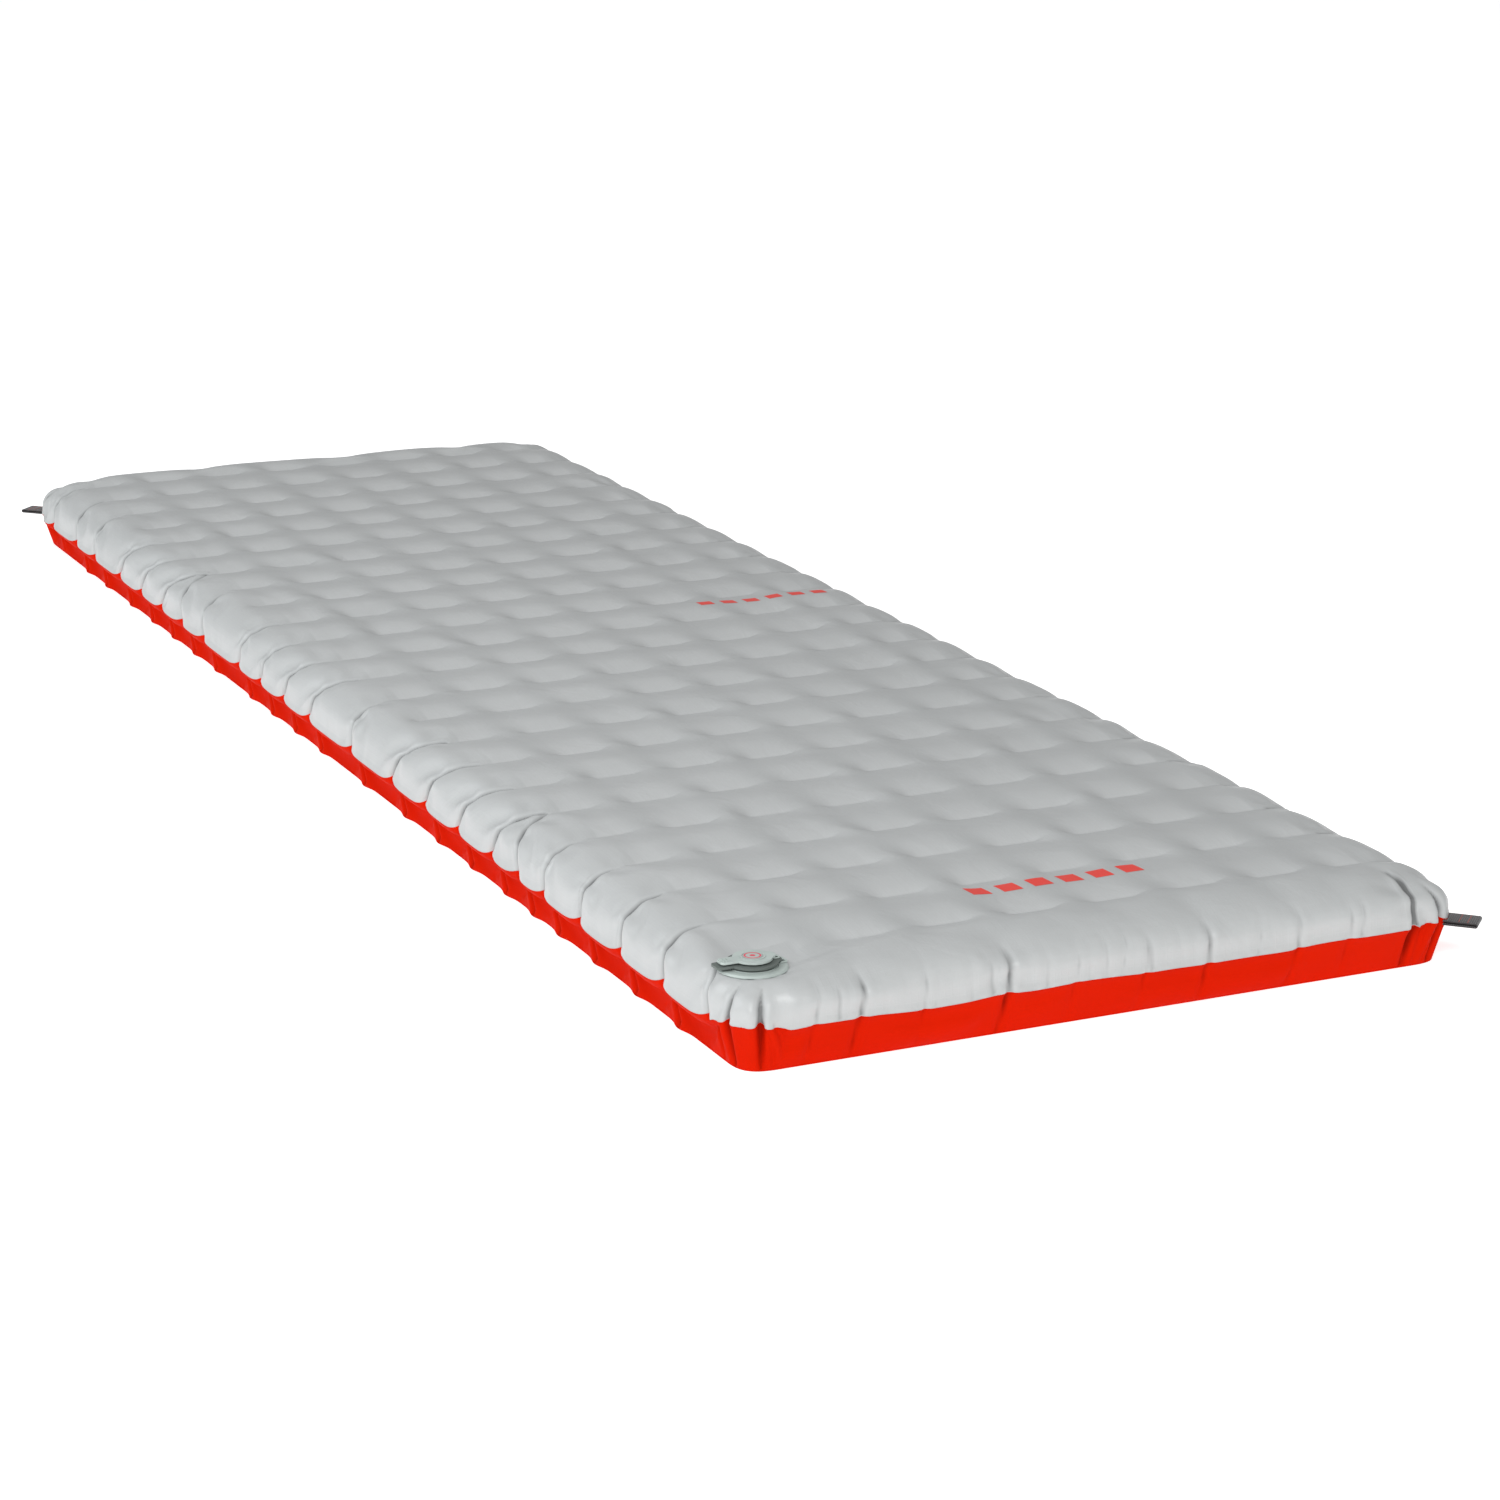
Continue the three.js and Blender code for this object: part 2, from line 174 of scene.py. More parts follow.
def rises(level_here):
    """How far up the side, and how far down the wall, each level is, from 0 to 1."""
    return (np.clip((level_here - WALL_RINGS) / SIDE_RINGS, 0, 1),
            np.clip((WALL_RINGS - level_here) / WALL_RINGS, 0, 1))


rise, drop = rises(np.arange(RINGS + 1))


def laid_out(reach_x, reach_y, stretch=(1, 1)):
    """Grid places for a reach per ring, with the panel scaled by stretch."""
    x = at_x * stretch[0] + np.where(
        in_x, side_x * reach_x[level] * np.where(in_y, turn_x / turn_length, 1), 0)
    y = at_y * stretch[1] + np.where(
        in_y, side_y * reach_y[level] * np.where(in_x, turn_y / turn_length, 1), 0)
    return x, y


GROUND_INSET = 0.012  # how far the wall leans in, down at the ground
reach = np.array([top_high.x, top_high.y]) - FLANGE - core
swell = np.cos(rise * math.pi / 2)
reaches = [span * swell - GROUND_INSET * drop for span in reach]
start_x, start_y = laid_out(*reaches)
ring_height = SEAM_HEIGHT * (1 - drop) + (WELD_HEIGHT - SEAM_HEIGHT) * np.sin(rise * math.pi / 2)
CHAMFER_FROM, CHAMFER = 0.062, 0.8  # where a corner's cut begins, and how flat it is


def chamfered(x, y, amount):
    """The same places with each corner cut across, as the folded wall cuts it at the ground."""
    over = np.maximum((np.abs(x) - core[0]).clip(0) + (np.abs(y) - core[1]).clip(0)
                      - CHAMFER_FROM, 0) * CHAMFER * amount / 2
    return x - np.sign(x) * over, y - np.sign(y) * over


start_x, start_y = chamfered(start_x, start_y, drop[level])
start = np.stack([start_x, start_y, ring_height[level] + GROUND_GAP], -1)
up_side = rise[level]
down_wall = drop[level]
print("first guess", start.reshape(-1, 3).min(0), start.reshape(-1, 3).max(0))

# %% [markdown]
# The flat cut is a little longer than the inflated pad, because each tube bulges. That spare
# length has nowhere to go at the straight seam, and it is what gathers the sides into lobes.

# %% The flat cut
SPARE_ACROSS = 1.0003  # how much longer the flat panel is than the inflated one
SPARE_ALONG = 1.0003
END_SPARE = 1.001
SIDE_CUT = 0.0705  # flat cloth from the panel's edge to the seam
WALL_CUT = 0.0375  # flat cloth from the seam to the ground
flat_reach = SIDE_CUT * (1 - rise)
flat_x, flat_y = laid_out(flat_reach, flat_reach, (SPARE_ACROSS, SPARE_ALONG))
flat = np.stack([flat_x, flat_y, -WALL_CUT * down_wall], -1)
print("flat cut", round(2 * flat_x.max(), 3), "by", round(2 * flat_y.max(), 3), "m")

# %% [markdown]
# ## What holds the cloth
# Short welds hold it to the trusses, the base stays on the ground, and the valve's stiff collar
# keeps a round patch flat. A weld is never placed perfectly, so each one is off by a fraction
# of a millimetre, always the same for a given seed.

# %% Welds, ground and valve
VALVE_CLEAR_X, VALVE_CLEAR_Y = 0.045, 0.03
WELD_SLIP = 0.0004
COLLAR_HOLD = 0.0006  # how far past its edge the collar holds the cloth
UNDER_COLLAR = 0.0002


def near_valve(x, y):
    """The corner round the valve, where there are no welds."""
    return (x < VALVE.x + VALVE_CLEAR_X) & (y < VALVE.y + VALVE_CLEAR_Y)


cell_x = np.round(at_x / (WELD_PITCH / CELLS_PER_WELD)).astype(int)
cell_y = np.round(at_y / (ROW_PITCH / CELLS_PER_ROW)).astype(int)
on_panel = level == RINGS
on_row = on_panel & (np.mod(cell_y - CELLS_PER_ROW // 2, CELLS_PER_ROW) == 0)
on_row &= np.abs(at_y) <= LAST_ROW + 1e-4
in_weld = np.abs(np.mod(cell_x, CELLS_PER_WELD) - CELLS_PER_WELD // 2) <= CELLS_PER_WELD // 4
welded = on_row & in_weld & ~near_valve(at_x, at_y)
row_number = (cell_y - CELLS_PER_ROW // 2) // CELLS_PER_ROW
weld_number = (cell_x // CELLS_PER_WELD + 20) * 100 + row_number + 50  # never below 0
shifts = np.random.default_rng(5).normal(0, WELD_SLIP, (5000, 3)) * (0.8, 0.8, 1)
start[welded] += shifts[weld_number[welded]]
start[..., 2][welded] += WELD_HEIGHT - ring_height[-1]
from_valve = np.hypot(start[..., 0] - VALVE.x, start[..., 1] - VALVE.y)
under_collar = (from_valve < COLLAR_RADIUS + COLLAR_HOLD) & (up_side > 0.3)
start[..., 2][under_collar] = collar_low.z - UNDER_COLLAR
held = welded | under_collar | (level == 0)
print("welds", int(welded.sum()) // (CELLS_PER_WELD // 2 + 1), "held points", int(held.sum()))

# %% [markdown]
# ## Where the seam gathers
# The spare cloth gathers at uneven places, once for each tube or so. At a gather the seam is
# drawn in and up, and a pleat runs up the side. The ends have little spare cloth, so they only
# have a few faint pleats and one deep one.

# %% Gathers
# Feet of the left side's pleats along it, and (foot, strength) of each pleat of the ends.
LEFT_GATHERS = (-0.9075, -0.825, -0.745, -0.665, -0.59, -0.535, -0.475, -0.3975, -0.3175,
                -0.234, -0.1275, -0.0085, 0.066, 0.135, 0.2025, 0.3165, 0.39, 0.464, 0.5375,
                0.6175, 0.7125, 0.7875, 0.885)
NEAR_GATHERS = ((-0.252, 0.4), (-0.215, 0.7), (-0.163, 0.35), (-0.0925, 0.9), (-0.035, 0.3),
                (0.025, 0.35), (0.08, 0.6), (0.16, 0.5), (0.207, 0.35), (0.2675, 2.0))
FAR_GATHERS = ((-0.262, 1.0), (-0.13, 0.4), (0.045, 0.6), (0.19, 0.5), (0.275, 1.0))
GATHER_DEPTH = 0.0085  # how far a gather draws the seam in
DEPTH_AT_RISE = ((0, 0.15, 0.35, 0.7, 1), (1, 0.75, 0.38, 0.14, 0.05))
WALL_SHALLOWER = 0.7
GATHER_LIFT = 0.0080  # and up, which is over by a rise of 0.6
LIFT_RISE = 0.6
GATHER_WIDTH = 0.0052
GATHER_BOW = 0.003
GROUND_KICK, KICK_WIDTH = 0.0035, 0.012  # the wall's foot steps out below a gather
KICK_LIMIT = 0.87
WALL_LEAN, END_LEAN = 0.014, 0.004
END_STEP, END_STEPS = 0.0018, 25  # how unevenly the seam of an end runs
END_HALF = 0.3
END_TAPER = 0.99
ROW_SLIP = 0.012  # how far a right pleat may stand from its row
LOBE_SAG = 0.0055  # how far the seam hangs down between two gathers of a long side
SEAM_GRIP = 0.3
END_FIRMNESS = 0.25  # the ends are tauter, so their pleats are shallower


def pleat_distance(place, foot, head, up, down, lean=WALL_LEAN):
    """How far each point is from a pleat's path: up from its foot, and leaning down the wall."""
    path = foot + (head - foot) * up + GATHER_BOW * np.sin(math.pi * up)
    return place - path + lean * down


def nearest_row(y):
    """The weld row that a pleat with its foot at y runs up to."""
    return min(weld_rows, key=lambda row: abs(row - y))


right_shifts = np.random.default_rng(11).uniform(-ROW_SLIP, ROW_SLIP, len(weld_rows))
pleats = [("y", -1, y, nearest_row(y), 1.0) for y in LEFT_GATHERS]
pleats += [("y", 1, row + shift, row, 1.0) for row, shift in zip(weld_rows, right_shifts)]
for sign, gathers in ((-1, NEAR_GATHERS), (1, FAR_GATHERS)):
    pleats += [("x", sign, x, x * END_TAPER, strength) for x, strength in gathers]


def on_side(axis, sign, sides, inside_x, inside_y):
    """The points on one straight side, not at its corners."""
    across, along = (inside_x, inside_y) if axis == "y" else (inside_y, inside_x)
    return across & ~along & (sides[0 if axis == "y" else 1] == sign)


goal = start.copy()
pull = np.zeros(level.shape)
slope = up_side * math.pi / 2
depth = GATHER_DEPTH * np.where(up_side > 0, np.interp(up_side, *DEPTH_AT_RISE),
                                1 - WALL_SHALLOWER * down_wall)
lift = GATHER_LIFT * np.where(up_side > 0, np.clip(1 - up_side / LIFT_RISE, 0, 1),
                              1 - down_wall)
below_panel = (up_side < 1) & (level > 0)


def gather(mask, distance, inward, strength):
    """Asks the points near a pleat to go in, and near the seam to go up as well."""
    near = strength * (mask & below_panel) * np.exp(-(distance / GATHER_WIDTH) ** 2)
    step = np.stack([inward[0] * np.cos(slope), inward[1] * np.cos(slope),
                     -np.sin(slope)], -1) * depth[..., None]
    step[..., 2] += lift
    goal[...] += near[..., None] * step
    np.maximum(pull, np.minimum(near, 1) ** 2, out=pull)


for axis, sign, foot, head, strength in pleats:
    side = on_side(axis, sign, (side_x, side_y), in_x, in_y)
    place = start[..., 1 if axis == "y" else 0]
    inward = (-sign, 0) if axis == "y" else (0, -sign)
    lean, firmness = (WALL_LEAN, 1) if axis == "y" else (END_LEAN, END_FIRMNESS)
    gather(side, pleat_distance(place, foot, head, up_side, down_wall, lean), inward,
           strength * firmness)
    if axis == "y" and abs(foot) < KICK_LIMIT:
        ground = side & (level == 0)
        kick = np.exp(-((start[ground, 1] - foot + WALL_LEAN) / KICK_WIDTH) ** 2)
        start[ground, 0] += sign * GROUND_KICK * kick
sag = on_long_side & in_x & ~in_y & (np.abs(level - WALL_RINGS) <= 1)
goal[..., 2] -= LOBE_SAG * sag
end_seam = ~on_long_side & in_y & ~in_x & (np.abs(level - WALL_RINGS) <= 1)
end_steps = np.random.default_rng(31).uniform(-END_STEP, END_STEP, END_STEPS)
goal[..., 2] += end_seam * np.interp(
    start[..., 0], np.linspace(-END_HALF, END_HALF, END_STEPS), end_steps)
pull = np.where(sag | end_seam, np.maximum(pull, SEAM_GRIP), pull)
print("pleats", len(pleats))

# %% [markdown]
# At each rounded corner the flat cloth is much longer than the seam it ends on, so it folds
# into a few fingers. They are set by their angle round the corner.

# %% Corner folds
CORNER_FOLDS = (27, 61)  # degrees round the corner
CORNER_REACH = 0.046
CORNER_STRENGTH = 0.7


def corner_distance(place, sign_x, sign_y, fold):
    """How far each point is, round a corner, from a fold at that angle."""
    away_x, away_y = (np.abs(place[..., k] - sign * core[k])
                      for k, sign in enumerate((sign_x, sign_y)))
    return (np.arctan2(away_y, away_x + 1e-9) - math.radians(fold)) * CORNER_REACH


CORNERS = [(x, y, fold) for x in (-1, 1) for y in (-1, 1) for fold in CORNER_FOLDS]
for sign_x, sign_y, fold in CORNERS:
    in_corner = in_x & in_y & (side_x == sign_x) & (side_y == sign_y)
    angle = math.radians(fold)
    inward = (-sign_x * math.cos(angle), -sign_y * math.sin(angle))
    gather(in_corner, corner_distance(start, sign_x, sign_y, fold), inward, CORNER_STRENGTH)

# %% [markdown]
# ## Cloth as springs
# Threads run along both axes and resist stretch, two diagonals resist shear, and springs that
# skip a point resist bending. Their lengths come from the flat cut. The seam is welded double,
# so it is stiffer. Every spring has its own length, so that the sides get more spare cloth than
# the panel.

# %% Springs
SIDE_SPARE = 0.042  # spare cloth along the long sides, at the seam
CORNER_SPARE = 0.03  # how much longer the cloth round a corner is than the seam there
THREAD, DIAGONAL, BENDING = 1.0, 0.35, 0.10
SEAM_STIFFNESS = 2.5
SPARE_RISE = 0.55  # the rise by which a side's spare cloth has run out
WALL_SPARE_LOSS = 0.8
WALL_EASE = 1.002
springs = []


def add_springs(first, second, stiffness, along_y=False, across_x=False, bends=False):
    """Springs between two shifted copies of the grid, with lengths from the flat cut."""
    length = np.linalg.norm(flat[second] - flat[first], axis=-1)
    guess = np.linalg.norm(start[second] - start[first], axis=-1)
    drop_here = (down_wall[first] + down_wall[second]) / 2
    rise_here = (up_side[first] + up_side[second]) / 2
    corner_here = in_x[first] & in_y[first] & in_x[second] & in_y[second]
    length = np.where(corner_here, np.minimum(length, guess * (1 + CORNER_SPARE)), length)
    length = length * (1 - drop_here) + guess * drop_here * WALL_EASE
    if along_y:
        spare = (SIDE_SPARE * np.clip(1 - rise_here / SPARE_RISE, 0, 1)
                 * (1 - WALL_SPARE_LOSS * drop_here))
        length = length * (1 + spare * (on_long_side[first] & ~in_y[first]))
    if across_x:
        length = length * (1 - (SPARE_ACROSS - END_SPARE) * (1 - rise_here) * ~on_long_side[first])
    strength = np.full(length.shape, stiffness)
    strength[(level[first] == WALL_RINGS) & (level[second] == WALL_RINGS)] *= SEAM_STIFFNESS
    springs.append((first, second, strength[..., None].astype("f4"),
                    length[..., None].astype("f4"), bends))


add_springs(np.s_[:-1, :], np.s_[1:, :], THREAD, across_x=True)
add_springs(np.s_[:, :-1], np.s_[:, 1:], THREAD, along_y=True)
add_springs(np.s_[:-1, :-1], np.s_[1:, 1:], DIAGONAL)
add_springs(np.s_[1:, :-1], np.s_[:-1, 1:], DIAGONAL)
add_springs(np.s_[:-2, :], np.s_[2:, :], BENDING, across_x=True, bends=True)
add_springs(np.s_[:, :-2], np.s_[:, 2:], BENDING, along_y=True, bends=True)
print("springs", sum(s[3].size for s in springs))

# %% [markdown]
# ## Blowing it up
# Air pushes each cell outwards along its own normal. Every point moves a little at each step,
# slowed by drag, until the cloth and the air balance. A soft random start breaks the symmetry,
# as handling does to a real pad.

# %% Inflation
PRESSURE = 0.10
PANEL_SHARE = 0.4  # the trusses take part of the push on the panel
SLACK_SHARE = 0.55  # cloth resists being pushed together less than being pulled
STEP = 0.13
DRAG = 0.988
PULL = 0.4
JITTER, JITTER_CELL = 0.0003, 0.03
INFLATION_STEPS = 2600
TAUTNESS, TAUT_PASSES = 0.5, 4  # a last smoothing, as film this thin holds no small knobs


def soft_noise(seed, cell):
    """A smooth random field over the grid, about one unit high, with lumps of one size."""
    lattice = np.random.default_rng(seed).normal(size=(int(1.6 / cell), int(2.8 / cell)))
    u, v = (start[..., 0] + 0.7) / cell, (start[..., 1] + 1.2) / cell
    i, j = u.astype(int), v.astype(int)
    a, b = (t * t * (3 - 2 * t) for t in (u - i, v - j))
    return ((lattice[i, j] * (1 - a) + lattice[i + 1, j] * a) * (1 - b)
            + (lattice[i, j + 1] * (1 - a) + lattice[i + 1, j + 1] * a) * b)


panel_part = np.clip((up_side[1:, 1:] - 0.5) / 0.5, 0, 1)
CELL_SHARE = 8  # a cell's push goes to four points, and its diagonals span twice its area
air = (PRESSURE / CELL_SHARE * (1 - (1 - PANEL_SHARE) * panel_part))[..., None].astype("f4")


def air_force(points):
    """The push on each point from the cells around it."""
    a = points[1:, 1:] - points[:-1, :-1]
    b = points[:-1, 1:] - points[1:, :-1]
    push = np.stack([a[..., 1] * b[..., 2] - a[..., 2] * b[..., 1],
                     a[..., 2] * b[..., 0] - a[..., 0] * b[..., 2],
                     a[..., 0] * b[..., 1] - a[..., 1] * b[..., 0]], -1) * air
    force = np.zeros_like(points)
    for corner in (np.s_[:-1, :-1], np.s_[1:, :-1], np.s_[1:, 1:], np.s_[:-1, 1:]):
        force[corner] += push
    return force


def inflated(steps):
    """The grid's places after that many steps of blowing up."""
    free = (~held)[..., None].astype("f4")
    jitter = np.stack([soft_noise(seed, JITTER_CELL) for seed in (1, 2, 3)], -1)
    points = (start + free * jitter * JITTER).astype("f4")
    target, grip = goal.astype("f4"), (pull * PULL)[..., None].astype("f4")
    speed = np.zeros_like(points)
    for _ in range(steps):
        force = air_force(points) + grip * (target - points)
        for first, second, strength, length, bends in springs:
            gap = points[second] - points[first]
            now = np.sqrt(np.einsum("ijk,ijk->ij", gap, gap))[..., None]
            stretch = (now - length) * strength
            if not bends:
                stretch = np.where(stretch < 0, stretch * SLACK_SHARE, stretch)
            gap *= stretch / now
            force[first] += gap
            force[second] -= gap
        speed = (speed + force * STEP) * DRAG * free
        points += speed
        np.maximum(points[..., 2], GROUND_GAP, out=points[..., 2])
    return points.astype(float)


skin = inflated(INFLATION_STEPS)
taut = (~held & (up_side > 0.06))[1:-1, 1:-1, None] * TAUTNESS
for _ in range(TAUT_PASSES):
    beside = (skin[2:, 1:-1] + skin[:-2, 1:-1] + skin[1:-1, 2:] + skin[1:-1, :-2]) / 4
    skin[1:-1, 1:-1] += taut * (beside - skin[1:-1, 1:-1])
seam_heights = skin[..., 2][level == WALL_RINGS]
print("skin box", skin.reshape(-1, 3).min(0), skin.reshape(-1, 3).max(0))
print("seam height from", round(seam_heights.min(), 4), "to", round(seam_heights.max(), 4), "m")

# %% [markdown]
# ## Finishes
# Every finish is a tree of nodes, so it needs no picture file and stays sharp at any distance.
# Small helpers each make one kind of node and hand back the output that is wanted.

# %% A node in one line
def add_node(tree, kind, inputs=None, **settings):
    """Makes a node. An input is a number, another node's output, or a node for its first one."""
    made = tree.nodes.new(kind)
    for key, value in settings.items():
        setattr(made, key, value)
    for key, value in (inputs or {}).items():
        if isinstance(value, bpy.types.Node):
            value = value.outputs[0]
        if isinstance(value, bpy.types.NodeSocket):
            tree.links.new(value, made.inputs[key])
        else:
            made.inputs[key].default_value = value
    return made


def new_finish(name, **sockets):
    """A material and its shader, with the shader's uniform values set on its own sockets."""
    material = bpy.data.materials.new(name)
    material.use_nodes = True
    shader = material.node_tree.nodes["Principled BSDF"]
    for key, value in sockets.items():
        shader.inputs[key.replace("_", " ")].default_value = value
    return material, material.node_tree, shader


def object_place(tree):
    return add_node(tree, "ShaderNodeTexCoord").outputs["Object"]


def noise(tree, place, scale, detail, **more):
    """A noise pattern's height, from 0 to 1."""
    return add_node(tree, "ShaderNodeTexNoise", {
        "Vector": place, "Scale": scale, "Detail": detail, **more}).outputs["Fac"]


def wave(tree, place, scale, axis, **more):
    """Bands across one axis, from 0 to 1."""
    return add_node(tree, "ShaderNodeTexWave", {"Vector": place, "Scale": scale, **more},
                    bands_direction=axis).outputs["Fac"]


def point_mark(tree, name):
    """A number that was stored on the cloth's points."""
    return add_node(tree, "ShaderNodeAttribute", attribute_name=name).outputs["Fac"]


def worked_out(tree, operation, *values):
    return add_node(tree, "ShaderNodeMath", dict(enumerate(values)),
                    operation=operation).outputs[0]


def ranged(tree, value, **ends):
    """A value brought from one range to another, each from 0 to 1 unless its ends are given."""
    ends = {key.replace("_", " "): end for key, end in ends.items()}
    return add_node(tree, "ShaderNodeMapRange", {"Value": value, **ends}).outputs[0]


def between_values(tree, share, low, high):
    return add_node(tree, "ShaderNodeMix", {0: share, 2: low, 3: high},
                    data_type="FLOAT").outputs[0]


def between_tints(tree, share, *tints):
    """A colour between two, where each is three numbers or another node's output."""
    first, second = (tint if isinstance(tint, bpy.types.NodeSocket) else (*tint, 1)
                     for tint in tints)
    return add_node(tree, "ShaderNodeMix", {0: share, 6: first, 7: second},
                    data_type="RGBA").outputs[2]


def scaled(color, amount):
    return [min(1, part * amount) for part in color]


def dress(tree, shader, tint, gloss, bumps):
    """Wires any colour and roughness, and a chain of bumps, each (height, strength, distance)."""
    for socket, value in (("Base Color", tint), ("Roughness", gloss)):
        if value:
            tree.links.new(value, shader.inputs[socket])
    below = {}
    for height, strength, distance in bumps:
        bump = add_node(tree, "ShaderNodeBump", {
            "Height": height, "Strength": strength, "Distance": distance, **below})
        below = {"Normal": bump}
    tree.links.new(bump.outputs[0], shader.inputs["Normal"])


# %% [markdown]
# The shell is thin woven polyester with a shiny coating. Close up it has a fine weave with a
# thicker thread every few millimetres. Further off it shows small crinkles and a slight unevenness
# of colour. The pattern lies in the cloth's own cut, so it is stored as a UV map in metres.

# %% Coated cloth
def coated_cloth(name, dark, light, roughness, coat, shine, fold_shade, painted_light_share=0.0):
    """Woven cloth with a coating: weave, ripstop threads, crinkles, uneven colour, and painted
    light and shade from its marks.
    """
    material, tree, shader = new_finish(name, Coat_Weight=coat, Coat_Roughness=0.22,
                                        Specular_IOR_Level=shine)
    cut = add_node(tree, "ShaderNodeUVMap", uv_map="cut").outputs["UV"]
    place = object_place(tree)
    blotch = noise(tree, place, 55, 3)
    uneven = between_values(tree, 0.35, noise(tree, place, 9, 4), blotch)
    # The taut mark paints light and shade into the colour: lighter squares past the welds, darker
    # between.
    pale = between_values(tree, painted_light_share, uneven, point_mark(tree, "taut"))
    # Painted shade: the crease mark darkens the colour down in the folds.
    deep = ranged(tree, point_mark(tree, "crease"), From_Min=0.12, From_Max=0.7,
                  To_Max=fold_shade)
    folded = between_tints(tree, deep, between_tints(tree, pale, dark, light), scaled(dark, 0.2))
    weave = worked_out(tree, "MULTIPLY", *(wave(tree, cut, 330, axis) for axis in "XY"))
    ripstop = worked_out(tree, "MAXIMUM", *(wave(tree, cut, 55, axis) for axis in "XY"))
    thread = worked_out(tree, "POWER", ripstop, 12)
    shaded = ranged(tree, weave, To_Min=0.955, To_Max=1.02)
    woven = add_node(tree, "ShaderNodeVectorMath", {0: folded, "Scale": shaded},
                     operation="SCALE").outputs[0]
    gloss = ranged(tree, blotch, From_Min=0.3, From_Max=0.7, To_Min=roughness - 0.05,
                   To_Max=roughness + 0.06)
    crinkle = noise(tree, place, 95, 5, Roughness=0.55, Distortion=0.6)
    fold = noise(tree, place, 28, 2, Distortion=1.2)
    dress(tree, shader, woven, gloss, ((fold, 0.35, 0.0022), (crinkle, 0.22, 0.0009),
                                       (thread, 0.25, 0.00012), (weave, 0.2, 0.0001)))
    return material


TOP_CLOTH = coated_cloth("grey coated cloth", (0.415, 0.428, 0.428), (0.56, 0.573, 0.573), 0.40,
                         coat=0.12, shine=0.35, fold_shade=0.75, painted_light_share=0.65)
BASE_CLOTH = coated_cloth("red coated cloth", (0.52, 0.0095, 0.0007), (0.64, 0.013, 0.0009), 0.6,
                          coat=0.0, shine=0.015, fold_shade=0.6)
print("cloth finishes made")

# %% [markdown]
# The valve is moulded from a soft matt rubbery plastic, a little greener than the cloth. Moulded
# parts have an even colour, a very fine grain and edges that are rubbed lighter. The wide lid is
# painted darker, as painted shade for the shadow that the cap casts on it.

# %% Moulded plastic, film and webbing
def moulded(name, color, roughness, grain=900, worn=0.12):
    """Moulded plastic with fine grain, faint flow marks and edges rubbed lighter."""
    material, tree, shader = new_finish(name, Specular_IOR_Level=0.4)
    place = object_place(tree)
    flow = noise(tree, place, 120, 3)
    edge = add_node(tree, "ShaderNodeNewGeometry").outputs["Pointiness"]
    rubbed = ranged(tree, edge, From_Min=0.5, From_Max=0.6, To_Max=worn)
    tint = between_tints(tree, flow, scaled(color, 0.93), scaled(color, 1.05))
    dress(tree, shader, between_tints(tree, rubbed, tint, scaled(color, 1.6)),
          ranged(tree, flow, To_Min=roughness - 0.06, To_Max=roughness + 0.06),
          ((noise(tree, place, grain, 2), 0.25, 0.00012),))
    return material


RUBBER = (0.44, 0.50, 0.475)
VALVE_SHELL = moulded("valve rubber", RUBBER, 0.46)
# Painted shade: a darker rubber for the wide lid, standing in for the cap's shadow.
VALVE_PAINTED_SHADE = moulded("shaded valve rubber", (0.12, 0.14, 0.13), 0.55)
VALVE_SEAL = moulded("dark seal rubber", (0.085, 0.095, 0.09), 0.6, worn=0.05)
PRINT_INK = moulded("red ink", (0.80, 0.045, 0.03), 0.5, grain=1500, worn=0)
TRUSS_FILM = moulded("truss film", (0.66, 0.68, 0.66), 0.55, grain=300, worn=0)
print("moulded finishes made")


def ring_mark(name, plain, ink, middle, rings, blur=0.0001):
    """Moulded plastic with two inked rings, each (inner, outer) radius, round a point."""
    material, tree, shader = new_finish(name, Roughness=0.48, Specular_IOR_Level=0.4)
    place = object_place(tree)
    level_place = add_node(tree, "ShaderNodeVectorMath", {0: place, 1: (1, 1, 0)},
                           operation="MULTIPLY")
    away = add_node(tree, "ShaderNodeVectorMath", {0: level_place, 1: (middle.x, middle.y, 0)},
                    operation="DISTANCE").outputs["Value"]
    bands = []
    for inner, outer in rings:
        off = worked_out(tree, "SUBTRACT", away, (inner + outer) / 2)
        half = (outer - inner) / 2
        bands.append(ranged(tree, worked_out(tree, "ABSOLUTE", off), From_Min=half + blur,
                            From_Max=half - blur))
    inked = worked_out(tree, "MAXIMUM", *bands)
    dress(tree, shader, between_tints(tree, inked, plain, ink), None,
          ((noise(tree, place, 700, 2), 0.2, 0.0001),))
    return material


MARK_INK = ring_mark("rose rings on valve rubber", RUBBER, (0.66, 0.07, 0.11), VALVE,
                     ((0.0052, 0.0066), (0.0, 0.0022)))


def metal_film(name):
    """Thin metallised film that crackles in fine lines."""
    material, tree, shader = new_finish(name, Metallic=0.95, Base_Color=(0.72, 0.73, 0.75, 1))
    crackle = add_node(tree, "ShaderNodeTexVoronoi", {"Vector": object_place(tree), "Scale": 60},
                       feature="DISTANCE_TO_EDGE").outputs["Distance"]
    gloss = ranged(tree, crackle, From_Max=0.3, To_Min=0.36, To_Max=0.2)
    dress(tree, shader, None, gloss, ((crackle, 0.4, 0.0008),))
    return material


METAL_FILM = metal_film("metallised film")


def webbing(name, base, fleck, turn=0.0):
    """Narrow woven tape: a twill of thick yarns, with paler flecks where they are rubbed."""
    material, tree, shader = new_finish(name, Roughness=0.85, Sheen_Weight=0.3,
                                        Sheen_Roughness=0.5)
    turned = add_node(tree, "ShaderNodeMapping", {"Vector": object_place(tree),
                                                  "Rotation": (0, 0, turn)})
    cross = worked_out(tree, "MULTIPLY", wave(tree, turned, 190, "X", Distortion=0.6),
                       wave(tree, turned, 260, "Y", Distortion=0.4))
    dress(tree, shader, between_tints(tree, cross, base, fleck), None, ((cross, 0.7, 0.0004),))
    return material


